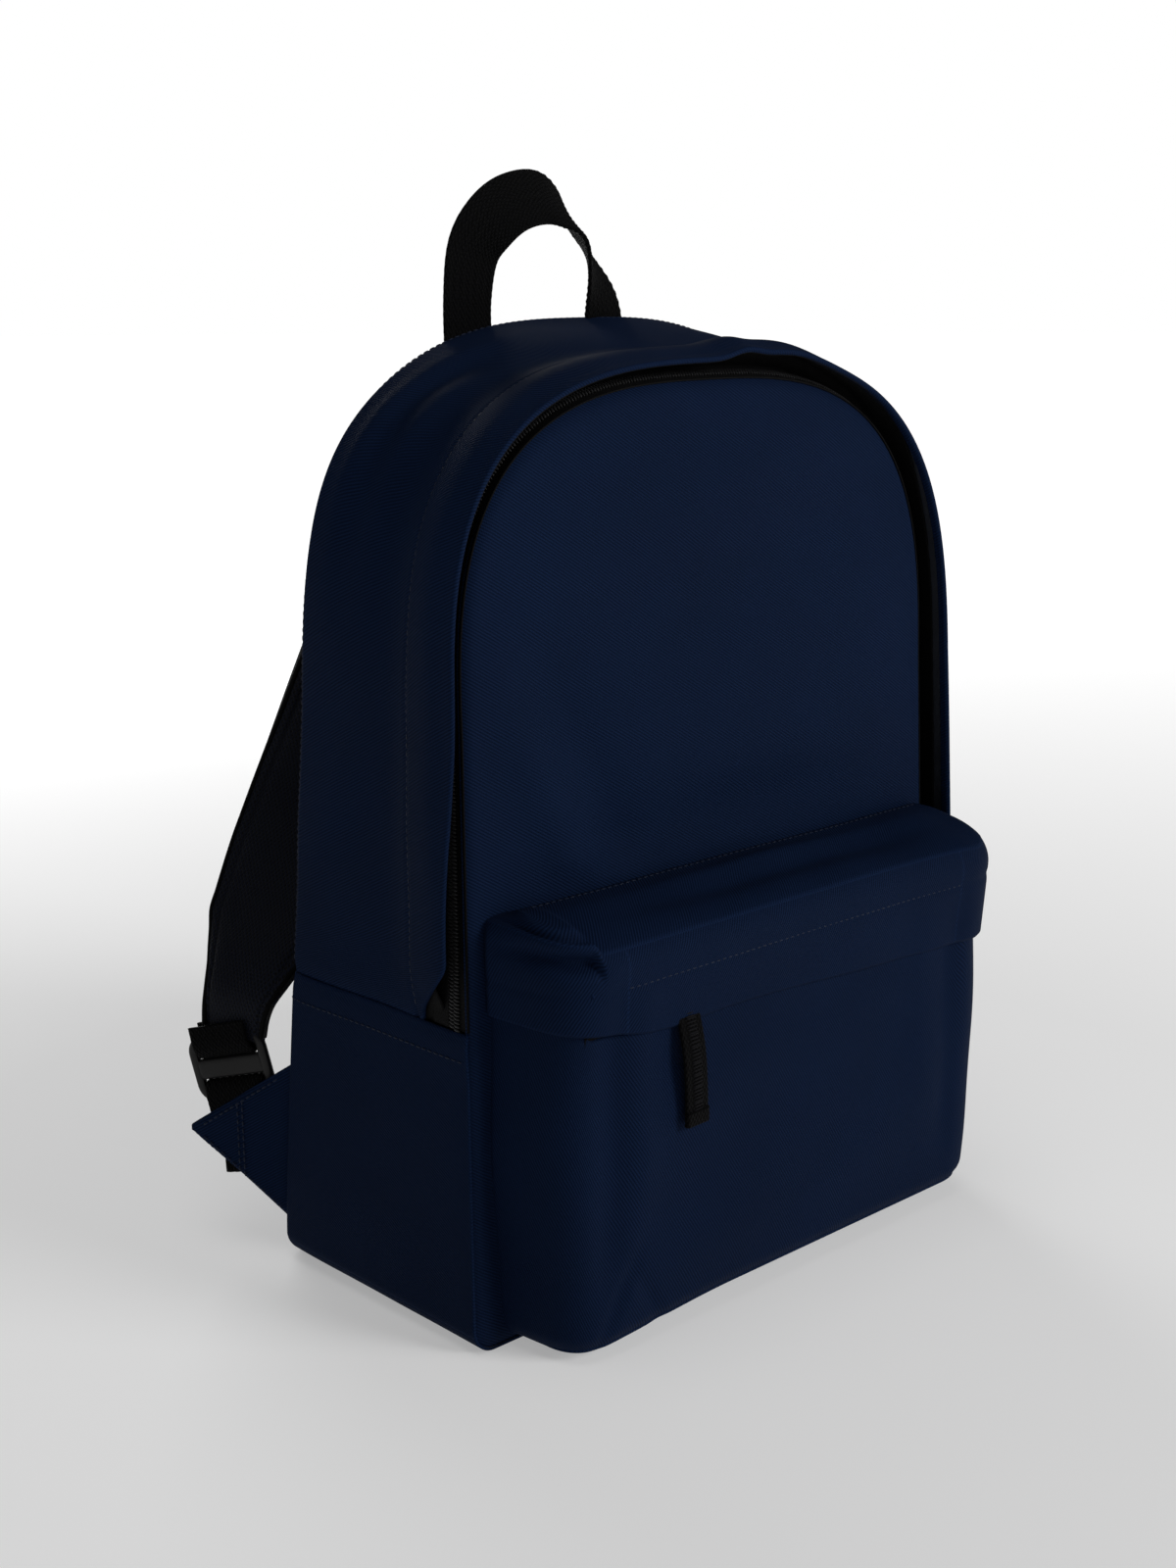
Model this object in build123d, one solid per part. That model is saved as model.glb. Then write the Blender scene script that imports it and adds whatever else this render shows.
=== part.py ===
from build123d import *
import math
import os

# A child's school backpack. Millimetres, +Z up, the wearer's side is +Y and the front is -Y.
# The origin is the middle of the main compartment's base.

# Main compartment
WIDTH = 279.0                 # across the front at the base
DEPTH = 128.5                 # front to back at the base
FRONT_HEIGHT = 373.5
BACK_HEIGHT = 396.5
SIDE_TAPER = 0.024            # how far each side leans in per mm of height
BACK_FLARE = 4.2              # how much further out each side is at the back
FRONT_LEAN = 0.038            # how far the front leans back per mm of height
BACK_LEAN = 0.087             # how far the back leans forward per mm of height
SHOULDER_Z = 246.0            # where the straight sides become the arch
ARCH_POWER = 2.91             # superellipse power of the arch
ARCH_STEPS = 12
SEAM_Z = 132.5                # seam between the lower side panels and the zipped gusset
BASE_BAND = 14.0              # height to which the bottom panel turns up
BASE_TRIM = 1.0               # cut off under the base, so that it rests on one flat face
FABRIC = 1.6                  # the cloth with its turned seams
GAP = 0.3                     # between pieces that move past each other
SEW_GAP = 0.15                # between pieces sewn to each other

# Places through the depth, as a share from the front (0) to the back (1)
FRONT_PANEL = (0.0, 0.0145)
INNER_TAPE = (0.0165, 0.0550)
INNER_COIL = (0.0555, 0.0775)
OUTER_COIL = (0.0845, 0.1055)
OUTER_TAPE = (0.1065, 0.2040)
GUSSET = (0.2055, 0.9840)
SIDE_WALL = (0.0160, 0.9840)
BACK_LINING = (0.9200, 0.9340)
BACK_FOAM = (0.9350, 0.9835)
BACK_PANEL = (0.9850, 1.0)
BACK_BINDING = (0.8950, 0.9190)
ZIP_LINE = 0.0810             # where the two coils meet
FLAP_OUTER = ((-0.055, 10.0), (0.170, 8.4), (0.270, 1.8))
FLAP_INNER = ((-0.057, 8.6), (0.170, 7.0), (0.270, 0.3), (0.280, 0.3))

# The opening front panel turns about this height, just above the pocket
HINGE_Z = 184.0
HINGE_SLOT = 1.2

# Zips
COIL_OUT = 0.5
COIL_IN = -1.7
TAPE_OUT = -0.3
TAPE_IN = -0.9
SLIDER_LENGTH = 13.0
SLIDER_WIDTH = 11.0
PLATE = 1.5
BRIDGE = 0.4
POST_RADIUS = 1.2
POST_CLEARANCE = 0.08
POST_HEAD_RADIUS = 2.4
PULLER_WIDTH = 10.0
PULLER_LENGTH = 46.0
PULLER_THICKNESS = 1.6
MAIN_SLIDER_Z = 152.0

# Front pocket
POCKET_HALF_BACK = 130.0
POCKET_HALF_FRONT = 121.0
POCKET_FRONT_Y = -99.5
POCKET_CORNER = 16.0
POCKET_BOTTOM = 9.0
POCKET_SEAM_Z = 178.0
POCKET_FOLD_Z = 165.0
POCKET_BODY_TOP = 128.0
POCKET_STRIP_Z = 150.0        # lowest edge of the cloth above the pocket's zip
POCKET_ZIP_HALF = 111.5
POCKET_ZIP_Z = 140.0
POCKET_TAPE_Y = -97.0
POCKET_SLIDER_X = -62.0
POCKET_FLAP_Y = (-105.3, -103.8)
POCKET_FLAP_HALF = 117.0
POCKET_FLAP_LOW_LEFT = 139.0
POCKET_FLAP_LOW_RIGHT = 127.0

# Haul handle
HANDLE_LEGS_X = (-60.0, 15.0)
HANDLE_Y = 28.5
HANDLE_BASE_Z = 399.0
HANDLE_TOP_Z = 457.0
HANDLE_WEB = 25.0
HANDLE_THICKNESS = 3.0

# Shoulder straps, the left one; the right one is its mirror image
STRAP_STATIONS = (            # centre, unit width direction, width
    ((-50.0, 37.0, 381.0), (-1.0, 0.0, 0.0), 58.0),
    ((-48.0, 55.0, 352.0), (-1.0, 0.03, 0.0), 60.0),
    ((-48.0, 79.0, 310.0), (-0.99, 0.10, 0.0), 60.0),
    ((-58.0, 98.0, 262.0), (-0.95, 0.28, 0.05), 60.0),
    ((-80.0, 107.0, 203.0), (-0.85, 0.50, 0.10), 58.0),
    ((-106.0, 100.0, 165.0), (-0.70, 0.68, 0.05), 56.0),
    ((-126.0, 91.0, 140.0), (-0.52, 0.85, 0.0), 54.0),
    ((-140.0, 89.0, 124.0), (-0.45, 0.89, 0.0), 45.0),
)
STRAP_FOAM = 6.0
STRAP_SKIN = 1.4
STRAP_END_WIDTH = 31.0

# Strap hardware, in the plane of the triangular tab: (outward, up) from the rear side seam
TAB_ANGLE = 25.0              # the tab points this far outward from straight back
TAB_ROOT = (-143.0, 60.5)
TAB_UPPER = (5.0, 85.0)
TAB_LOWER = (5.0, 17.0)
TAB_APEX = (45.0, 51.5)
TAB_LAYER = 1.3
TAB_ROOM = 1.1                # half the space between the tab's two layers
LOCK_CENTRE = (28.0, 81.5)
LOCK_TURN = -15.0             # the lock leans outward, square to the tab's upper edge
LOCK_SIZE = (40.0, 30.0)
LOCK_THICKNESS = (2.7, 5.5)
LOCK_SLOT = (27.0, 5.0)
LOCK_SLOT_RISE = 6.5          # each slot's height from the lock's centre
WEB = 24.0
WEB_THICKNESS = 1.6
WEB_LOW = -26.0               # heights from the lock's centre
TAIL_LOW = -46.0
TAIL_DEPTH = (6.0, 7.6)


def section_y(share, z):
    """Y at height z of the plane that lies this share of the way from front to back."""
    front = -DEPTH / 2 + FRONT_LEAN * z
    back = DEPTH / 2 - BACK_LEAN * z
    return front + (back - front) * share


def half_width(share, z):
    return WIDTH / 2 - SIDE_TAPER * z + BACK_FLARE * share


def outline(share, grow, trim=0.0):
    """The body's D-shaped section at a share of its depth, grown outward."""
    top = FRONT_HEIGHT + (BACK_HEIGHT - FRONT_HEIGHT) * share + grow
    shoulder = half_width(share, SHOULDER_Z) + grow
    foot_z = -grow - trim
    foot = half_width(share, foot_z) + grow

    def point(x, z):
        return Vector(x, section_y(share, z), z)

    arch = []
    for step in range(ARCH_STEPS + 1):
        angle = math.pi * step / ARCH_STEPS
        across = math.cos(angle)
        x = -shoulder * math.copysign(abs(across) ** (2 / ARCH_POWER), across)
        z = SHOULDER_Z + (top - SHOULDER_Z) * math.sin(angle) ** (2 / ARCH_POWER)
        arch.append(point(x, z))
    left_foot = point(-foot, foot_z)
    right_foot = point(foot, foot_z)
    rise = arch[0] - left_foot
    fall = right_foot - arch[-1]
    edges = [
        Line(left_foot, arch[0]),
        Spline(*arch, tangents=[rise, fall]),
        Line(arch[-1], right_foot),
        Line(right_foot, left_foot),
    ]
    return make_face(edges)


def body_loft(sections, trim=0.0):
    return loft([outline(share, grow, trim) for share, grow in sections], ruled=True)


def ring(shares, grow_out, grow_in, trim=0.0):
    """A wall that follows the body's outline between two shares of its depth."""
    start, end = shares
    spare = 0.01
    outer = body_loft([(start, grow_out), (end, grow_out)], trim)
    inner = body_loft([(start - spare, grow_in), (end + spare, grow_in)])
    return outer - inner


def slab(z_low, z_high, x_low=-400.0, x_high=400.0, y_low=-400.0, y_high=400.0):
    size = (x_high - x_low, y_high - y_low, z_high - z_low)
    middle = ((x_high + x_low) / 2, (y_high + y_low) / 2, (z_high + z_low) / 2)
    return Pos(*middle) * Box(*size)


def above(z):
    return slab(z, 800.0)


def main_body():
    """The sewn shell of the main compartment."""
    lower_wall = ring(SIDE_WALL, 0.0, -FABRIC, BASE_TRIM)
    side_band = slab(BASE_BAND + SEW_GAP, SEAM_Z - SEW_GAP)
    front = body_loft([(FRONT_PANEL[0], 0.0), (FRONT_PANEL[1], 0.0)])
    lining_grow = -FABRIC - 0.4
    foam_grow = -FABRIC - 0.8
    return {
        "bottom_panel": lower_wall & slab(0.0, BASE_BAND),
        "left_side_panel": lower_wall & side_band & slab(0.0, 500.0, x_high=0.0),
        "right_side_panel": lower_wall & side_band & slab(0.0, 500.0, x_low=0.0),
        "zip_gusset": ring(GUSSET, 0.0, -FABRIC) & above(SEAM_Z + SEW_GAP),
        "front_panel_lower": front & slab(-1.0, HINGE_Z - HINGE_SLOT),
        "front_panel_upper": front & above(HINGE_Z),
        "back_panel": body_loft([(BACK_PANEL[0], 0.0), (BACK_PANEL[1], 0.0)]),
        "back_foam": body_loft([(BACK_FOAM[0], foam_grow), (BACK_FOAM[1], foam_grow)]),
        "back_lining": body_loft([(BACK_LINING[0], lining_grow), (BACK_LINING[1], lining_grow)]),
        "back_seam_binding": ring(BACK_BINDING, -FABRIC - 0.3, -FABRIC - 1.5),
    }


def storm_flap():
    """The gusset's folded edge, which stands proud over the main zip."""
    return (body_loft(FLAP_OUTER) - body_loft(FLAP_INNER)) & above(SEAM_Z + SEW_GAP)


def main_zip():
    """Tapes and coils. What lies above the hinge moves with the opening front panel."""
    start = SEAM_Z + 0.8
    low = slab(start, HINGE_Z - HINGE_SLOT)
    inner_tape = ring(INNER_TAPE, TAPE_OUT, TAPE_IN)
    inner_coil = ring(INNER_COIL, COIL_OUT, COIL_IN)
    return {
        "main_zip_outer_tape": ring(OUTER_TAPE, TAPE_OUT, TAPE_IN) & above(start),
        "main_zip_outer_coil": ring(OUTER_COIL, COIL_OUT, COIL_IN) & above(start),
        "main_zip_inner_tape_lower": inner_tape & low,
        "main_zip_inner_coil_lower": inner_coil & low,
        "main_zip_inner_tape_upper": inner_tape & above(HINGE_Z),
        "main_zip_inner_coil_upper": inner_coil & above(HINGE_Z),
    }


def slider(frame):
    """A zip slider. In its frame x is outward, z is along the zip, and y crosses the tapes."""
    coil_half = (COIL_OUT - COIL_IN) / 2 + 0.4
    post_length = PULLER_THICKNESS + 2 * GAP
    outer = Pos(coil_half + PLATE / 2, 0, 0) * Box(PLATE, SLIDER_WIDTH, SLIDER_LENGTH)
    outer = fillet(outer.edges().filter_by(Axis.X), 3.0)
    inner = Pos(-coil_half - PLATE / 2, 0, 0) * Box(PLATE, SLIDER_WIDTH, SLIDER_LENGTH)
    inner = fillet(inner.edges().filter_by(Axis.X), 3.0)
    bridge = Pos(0, 0, -SLIDER_LENGTH / 4) * Box(2 * coil_half + 0.2, BRIDGE, SLIDER_LENGTH / 3)
    turn = Rot(0, 90, 0)
    post_start = coil_half + PLATE
    post = Pos(post_start + post_length / 2 - 0.1, 0, 0) * turn * Cylinder(POST_RADIUS, post_length + 0.2)
    head = Pos(post_start + post_length + 0.3, 0, 0) * turn * Cylinder(POST_HEAD_RADIUS, 0.6)
    return frame * (outer + inner + bridge + post + head)


def puller(frame, down):
    """A folded textile tab with an eyelet round the slider's post, hanging along down."""
    coil_half = (COIL_OUT - COIL_IN) / 2 + 0.4
    level = coil_half + PLATE + GAP + PULLER_THICKNESS / 2
    centre = frame.origin + frame.x_dir * level
    tab_frame = Plane(origin=centre, x_dir=-down, z_dir=frame.x_dir)
    reach = PULLER_LENGTH - PULLER_WIDTH / 2
    tab = Pos(-reach / 2, 0, 0) * Box(reach, PULLER_WIDTH, PULLER_THICKNESS)
    eye = Cylinder(PULLER_WIDTH / 2, PULLER_THICKNESS)
    hole = Cylinder(POST_RADIUS + POST_CLEARANCE, 3 * PULLER_THICKNESS)
    return tab_frame * (tab + eye - hole)


def main_slider_frame():
    """On the straight run of the main zip at the right, pointing up the zip."""
    x = half_width(ZIP_LINE, MAIN_SLIDER_Z) + (COIL_OUT + COIL_IN) / 2
    y = section_y(ZIP_LINE, MAIN_SLIDER_Z)
    rise = 100.0
    run_y = section_y(ZIP_LINE, MAIN_SLIDER_Z + rise) - y
    along = Vector(-SIDE_TAPER * rise, run_y, rise).normalized()
    front_to_back = Vector(BACK_FLARE, section_y(1, MAIN_SLIDER_Z) - section_y(0, MAIN_SLIDER_Z), 0)
    outward = front_to_back.cross(along).normalized()
    return Plane(origin=(x, y, MAIN_SLIDER_Z), x_dir=outward, z_dir=along)


def pocket_slider_frame():
    origin = (POCKET_SLIDER_X, POCKET_TAPE_Y, POCKET_ZIP_Z)
    return Plane(origin=origin, x_dir=(0, -1, 0), z_dir=(1, 0, 0))


def in_front_of_body(gap):
    """The space in front of the main compartment's front panel."""
    low, high = -50.0, 450.0
    near_low = section_y(0, low) - gap
    near_high = section_y(0, high) - gap
    profile = Polyline((0, near_low, low), (0, near_high, high), (0, -300, high), (0, -300, low), close=True)
    return extrude(make_face(profile), amount=300, dir=(1, 0, 0), both=True)


def pocket_block(inset, bottom):
    """The pocket's bulk below its sloping top, with every wall moved in by inset."""
    back_y = -40.0
    front_y = POCKET_FRONT_Y + inset
    back_half = POCKET_HALF_BACK - inset
    front_half = POCKET_HALF_FRONT - inset
    plan = Polyline(
        (-back_half, back_y), (-back_half, -62.0), (-front_half, front_y),
        (front_half, front_y), (back_half, -62.0), (back_half, back_y), close=True,
    )
    face = make_face(plan)
    corners = face.vertices().group_by(Axis.Y)[0]
    face = fillet(corners, POCKET_CORNER - inset)
    block = extrude(Pos(0, 0, bottom) * face, amount=POCKET_SEAM_Z + 20 - bottom)
    return block & under_slope(inset)


def under_slope(inset):
    """The space under the pocket's sloping top."""
    seam_y = section_y(0, POCKET_SEAM_Z)
    slope = (POCKET_SEAM_Z - POCKET_FOLD_Z) / (seam_y - POCKET_FRONT_Y)
    reach = 60.0
    near = (0, seam_y + reach, POCKET_SEAM_Z + slope * reach - inset)
    far = (0, POCKET_FRONT_Y - reach, POCKET_FOLD_Z - slope * reach - inset)
    profile = Polyline(near, far, (0, far[1], -50), (0, near[1], -50), close=True)
    return extrude(make_face(profile), amount=300, dir=(1, 0, 0), both=True)


def pocket():
    walls = pocket_block(0.0, POCKET_BOTTOM) - pocket_block(FABRIC, POCKET_BOTTOM + FABRIC)
    walls = walls & in_front_of_body(SEW_GAP)
    window = slab(POCKET_BODY_TOP, POCKET_STRIP_Z, -POCKET_ZIP_HALF - 0.5, POCKET_ZIP_HALF + 0.5, y_high=-90.0)
    flap_lip = slab(POCKET_FOLD_Z, POCKET_FOLD_Z + FABRIC, -POCKET_FLAP_HALF, POCKET_FLAP_HALF,
                    POCKET_FLAP_Y[0], POCKET_FRONT_Y + 4.0)
    top = walls & above(POCKET_BODY_TOP + SEW_GAP)
    return {
        "pocket_body": walls & slab(0.0, POCKET_BODY_TOP),
        "pocket_top_panel": (top - window) + flap_lip,
    }


def pocket_flap():
    """The cloth that hangs over the pocket's zip, lower at the right than at the left."""
    top = POCKET_FOLD_Z - GAP
    back = POCKET_FLAP_Y[1]
    profile = Polyline(
        (-POCKET_FLAP_HALF, back, top), (POCKET_FLAP_HALF, back, top),
        (POCKET_FLAP_HALF, back, POCKET_FLAP_LOW_RIGHT), (-POCKET_FLAP_HALF, back, POCKET_FLAP_LOW_LEFT),
        close=True,
    )
    return extrude(make_face(profile), amount=back - POCKET_FLAP_Y[0], dir=(0, -1, 0))


def pocket_zip():
    tape_y = (POCKET_TAPE_Y - 0.3, POCKET_TAPE_Y + 0.3)
    coil_y = (POCKET_TAPE_Y - 1.1, POCKET_TAPE_Y + 1.1)
    half = POCKET_ZIP_HALF

    def strip(z_low, z_high, y):
        return slab(z_low, z_high, -half, half, y[0], y[1])

    stops = []
    for side in (-1, 1):
        middle = side * (half - 2.0)
        stops.append(slab(POCKET_ZIP_Z - 0.35, POCKET_ZIP_Z + 0.35, middle - 2.0, middle + 2.0, *coil_y))
    return {
        "pocket_zip_lower_tape": strip(POCKET_BODY_TOP - 4.0, POCKET_ZIP_Z - 2.8, tape_y),
        "pocket_zip_lower_coil": strip(POCKET_ZIP_Z - 2.7, POCKET_ZIP_Z - 0.4, coil_y),
        "pocket_zip_upper_coil": strip(POCKET_ZIP_Z + 0.4, POCKET_ZIP_Z + 2.7, coil_y),
        "pocket_zip_upper_tape": strip(POCKET_ZIP_Z + 2.8, POCKET_STRIP_Z + 4.0, tape_y),
        "pocket_zip_stops": Compound(stops),
    }


def rectangle_at(centre, across, width, low, high, normal):
    """A flat section: width along across, from low to high along the strip's normal."""
    half = across * (width / 2)
    corners = [
        centre - half + normal * low, centre + half + normal * low,
        centre + half + normal * high, centre - half + normal * high,
    ]
    return make_face(Polyline(*corners, close=True))


def strip_loft(stations, low, high, narrower=0.0):
    """A band that runs through stations of (centre, unit width direction, width)."""
    centres = [Vector(*station[0]) for station in stations]
    sections = []
    for number, (_, across, width) in enumerate(stations):
        before = centres[max(number - 1, 0)]
        after = centres[min(number + 1, len(centres) - 1)]
        across = Vector(*across).normalized()
        normal = (after - before).cross(across).normalized()
        across = normal.cross(after - before).normalized()
        sections.append(rectangle_at(centres[number], across, width - 2 * narrower, low, high, normal))
    return loft(sections, ruled=True)


def haul_handle():
    """A webbing loop whose legs face the front and whose top turns to face up."""
    left, right = HANDLE_LEGS_X
    middle = (left + right) / 2
    shoulder_z = HANDLE_BASE_Z + 0.6 * (HANDLE_TOP_Z - HANDLE_BASE_Z)
    turned = (0.45, 0.89, 0.0)
    stations = (
        ((left, HANDLE_Y, HANDLE_BASE_Z), (1.0, 0.0, 0.0), HANDLE_WEB),
        ((left + 1.0, HANDLE_Y, HANDLE_BASE_Z + 18.0), (0.97, 0.24, 0.0), HANDLE_WEB),
        ((left + 6.0, HANDLE_Y, shoulder_z), turned, HANDLE_WEB),
        ((left + 20.0, HANDLE_Y, HANDLE_TOP_Z - 6.0), (0.1, 1.0, 0.0), HANDLE_WEB),
        ((middle, HANDLE_Y, HANDLE_TOP_Z), (0.0, 1.0, 0.0), HANDLE_WEB),
        ((right - 20.0, HANDLE_Y, HANDLE_TOP_Z - 6.0), (-0.1, 1.0, 0.0), HANDLE_WEB),
        ((right - 6.0, HANDLE_Y, shoulder_z), (-0.45, 0.89, 0.0), HANDLE_WEB),
        ((right - 1.0, HANDLE_Y, HANDLE_BASE_Z + 18.0), (-0.97, 0.24, 0.0), HANDLE_WEB),
        ((right, HANDLE_Y, HANDLE_BASE_Z), (-1.0, 0.0, 0.0), HANDLE_WEB),
    )
    return strip_loft(stations, -HANDLE_THICKNESS / 2, HANDLE_THICKNESS / 2)


def tab_frame():
    """The plane of the left tab: x outward from the seam, y up, z away from the front."""
    angle = math.radians(TAB_ANGLE)
    outward = Vector(-math.sin(angle), math.cos(angle), 0)
    away = Vector(math.cos(angle), math.sin(angle), 0)
    return Plane(origin=(*TAB_ROOT, 0), x_dir=outward, z_dir=away)


def lock_frame():
    """The lock's own plane: origin at its centre, y towards the strap."""
    plane = tab_frame()
    centre = plane.from_local_coords((*LOCK_CENTRE, 0.0))
    turn = math.radians(LOCK_TURN)
    x_dir = plane.x_dir * math.cos(turn) + plane.y_dir * math.sin(turn)
    return Plane(origin=centre, x_dir=x_dir, z_dir=plane.z_dir)


def strap_tab(frame):
    """A square of cloth folded into a triangle, open along its upper edge for the webbing."""
    outer = make_face(Polyline(TAB_UPPER, TAB_LOWER, TAB_APEX, close=True))
    room = make_face(Polyline(
        (TAB_UPPER[0] + 2.0, TAB_UPPER[1] + 9.0), (TAB_LOWER[0] + 2.0, TAB_LOWER[1] + 7.0),
        (TAB_APEX[0] + 2.0, TAB_APEX[1] + 3.0), close=True,
    ))
    half = TAB_ROOM + TAB_LAYER
    cloth = extrude(outer, amount=half, both=True)
    return frame * (cloth - extrude(room, amount=TAB_ROOM, both=True))


def ladder_lock(frame):
    """A moulded frame with two slots and three bars."""
    low, high = LOCK_THICKNESS
    depth = high - low
    plate = extrude(Pos(0, 0, low) * RectangleRounded(*LOCK_SIZE, 5.0), amount=depth)
    for rise in (LOCK_SLOT_RISE, -LOCK_SLOT_RISE):
        plate = plate - Pos(0, rise, (low + high) / 2) * Box(*LOCK_SLOT, 3 * depth)
    return frame * plate


def web_strip(low_y, high_y, low_z, high_z):
    size = (WEB, high_y - low_y, high_z - low_z)
    return Pos(0, (low_y + high_y) / 2, (low_z + high_z) / 2) * Box(*size)


def strap_webbing(frame):
    """Webbing from inside the tab, up through the lower slot and down again as a tail."""
    front = -WEB_THICKNESS / 2
    fold_high = -LOCK_SLOT_RISE + WEB_THICKNESS / 2
    rise = web_strip(WEB_LOW, fold_high, front, -front)
    fold = web_strip(fold_high - WEB_THICKNESS, fold_high, front, TAIL_DEPTH[1])
    tail = web_strip(TAIL_LOW, fold_high, *TAIL_DEPTH)
    return frame * (rise + fold + tail)


def lock_loop(frame, end_y):
    """The short webbing loop that holds the lock's top bar to the strap's end."""
    front = -WEB_THICKNESS / 2
    low = LOCK_SLOT_RISE - WEB_THICKNESS / 2
    near = web_strip(low, end_y, front, -front)
    under = web_strip(low, low + WEB_THICKNESS, front, TAIL_DEPTH[1])
    far = web_strip(low, end_y, *TAIL_DEPTH)
    return frame * (near + under + far)


def shoulder_strap():
    """The left strap with its webbing, ladder lock and tab."""
    tab_plane = tab_frame()
    lock_plane = lock_frame()
    end_y = LOCK_SIZE[1] / 2 + 3.0
    level = (LOCK_THICKNESS[0] + LOCK_THICKNESS[1]) / 2
    foot = []
    for height, width in ((end_y + 12.0, STRAP_END_WIDTH + 6.0), (end_y, STRAP_END_WIDTH)):
        centre = lock_plane.from_local_coords((0.0, height, level))
        foot.append((tuple(centre), tuple(lock_plane.x_dir), width))
    stations = STRAP_STATIONS + tuple(foot)
    half = STRAP_FOAM / 2
    skin_start = half + SEW_GAP
    skin_end = skin_start + STRAP_SKIN
    return {
        "strap_cover": strip_loft(stations, skin_start, skin_end),
        "strap_foam": strip_loft(stations, -half, half, narrower=2.0),
        "strap_mesh": strip_loft(stations, -skin_end, -skin_start),
        "strap_tab": strap_tab(tab_plane),
        "ladder_lock": ladder_lock(lock_plane),
        "strap_webbing": strap_webbing(lock_plane),
        "lock_loop": lock_loop(lock_plane, end_y - 2.5),
    }


def build():
    slider_frame = main_slider_frame()
    pocket_frame = pocket_slider_frame()
    down = Vector(0, 0, -1)
    level_down = down - slider_frame.x_dir * down.dot(slider_frame.x_dir)
    nodes = main_body()
    nodes["storm_flap"] = storm_flap()
    nodes.update(main_zip())
    nodes["main_slider"] = slider(slider_frame)
    nodes["main_puller"] = puller(slider_frame, level_down.normalized())
    nodes.update(pocket())
    nodes["pocket_flap"] = pocket_flap()
    nodes.update(pocket_zip())
    nodes["pocket_slider"] = slider(pocket_frame)
    nodes["pocket_puller"] = puller(pocket_frame, down)
    nodes["haul_handle"] = haul_handle()
    for name, shape in shoulder_strap().items():
        nodes["left_" + name] = shape
        nodes["right_" + name] = mirror(shape, about=Plane.YZ)
    return nodes


os.makedirs("parts", exist_ok=True)
for node, shape in build().items():
    export_step(shape, f"parts/{node}.step")
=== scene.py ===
import math

import bmesh
import bpy
import numpy as np
from mathutils import Matrix, Vector


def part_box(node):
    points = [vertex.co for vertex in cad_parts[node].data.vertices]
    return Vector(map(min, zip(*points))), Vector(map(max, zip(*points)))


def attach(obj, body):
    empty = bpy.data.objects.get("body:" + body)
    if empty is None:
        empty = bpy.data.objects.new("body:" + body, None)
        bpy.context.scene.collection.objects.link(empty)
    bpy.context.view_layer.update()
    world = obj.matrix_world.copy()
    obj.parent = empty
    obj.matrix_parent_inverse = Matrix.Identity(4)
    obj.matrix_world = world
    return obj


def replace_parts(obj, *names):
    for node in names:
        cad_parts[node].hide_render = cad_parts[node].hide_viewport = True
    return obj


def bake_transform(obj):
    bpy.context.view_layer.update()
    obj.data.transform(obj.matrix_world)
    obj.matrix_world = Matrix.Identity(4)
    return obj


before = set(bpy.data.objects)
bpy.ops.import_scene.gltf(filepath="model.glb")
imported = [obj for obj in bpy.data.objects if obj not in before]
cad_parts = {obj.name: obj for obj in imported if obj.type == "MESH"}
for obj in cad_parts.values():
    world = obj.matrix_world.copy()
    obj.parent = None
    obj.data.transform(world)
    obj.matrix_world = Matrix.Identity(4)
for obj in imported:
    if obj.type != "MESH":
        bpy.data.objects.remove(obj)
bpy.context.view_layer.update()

# Shapes are worked out in millimetres, as arrays, and become metres when their mesh is made.
MM = 0.001


def box_mm(node):
    """A CAD node's lowest and highest corners, in millimetres."""
    low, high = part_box(node)
    return np.array(low) / MM, np.array(high) / MM


# ---------------------------------------------------------------- the body, from the frame

FRONT_LOW = box_mm("front_panel_lower")
FRONT_HIGH = box_mm("front_panel_upper")
BACK = box_mm("back_panel")
HALF_FRONT = FRONT_LOW[1][0]
HALF_BACK = BACK[1][0]
FRONT_Y = FRONT_LOW[0][1]
BACK_Y = BACK[1][1]
FRONT_TOP = FRONT_HIGH[1][2]
BACK_TOP = BACK[1][2]
HINGE_Z = FRONT_HIGH[0][2]
FRONT_LEAN = (FRONT_HIGH[0][1] - FRONT_Y) / HINGE_Z
BACK_LEAN = 0.087
SIDE_TAPER = 0.024
SHOULDER_Z = 246.0
ARCH_POWER = 2.91
SEAM_Z = box_mm("zip_gusset")[0][2]
BASE_RADIUS = (10.0, 12.0)       # of the base corners, at the front and at the back
ARCH_SHARE = 0.675               # of the way over, how much is arch and not straight side
CORNER_REACH = (0.50, 0.62)      # of the way under, where the base corner starts and ends


def lerp(a, b, t):
    return a + (b - a) * t


def straight(value, start, end):
    """0 before start and 1 after end, in a straight line between them."""
    return np.clip((value - start) / (end - start), 0.0, 1.0)


def ramp(value, start, end):
    """0 before start and 1 after end, smoothly."""
    t = straight(value, start, end)
    return t * t * (3 - 2 * t)


def hump(value, centre, width):
    """1 at the centre and falling smoothly to 0 on both sides."""
    return np.exp(-((value - centre) / width) ** 2)


def ripple(points, wavelength, seed):
    """Smooth unevenness of about -1 to 1, the same each run."""
    random = np.random.default_rng(seed)
    total = np.zeros(points.shape[:-1])
    for _ in range(7):
        direction = random.normal(size=3)
        direction /= np.linalg.norm(direction)
        size = wavelength * random.uniform(0.7, 1.6)
        total += np.sin(points @ direction * (2 * math.pi / size) + random.uniform(0, 2 * math.pi))
    return total / 3.5


def unit(vectors):
    return vectors / np.maximum(np.linalg.norm(vectors, axis=-1, keepdims=True), 1e-9)


def grid(first, second):
    """Two arrays that together give every pair of the values."""
    return np.meshgrid(first, second, indexing="ij")


def stacked(*parts):
    """Vectors from their coordinates, which may be arrays or numbers."""
    return np.stack(np.broadcast_arrays(*parts), axis=-1)


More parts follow.
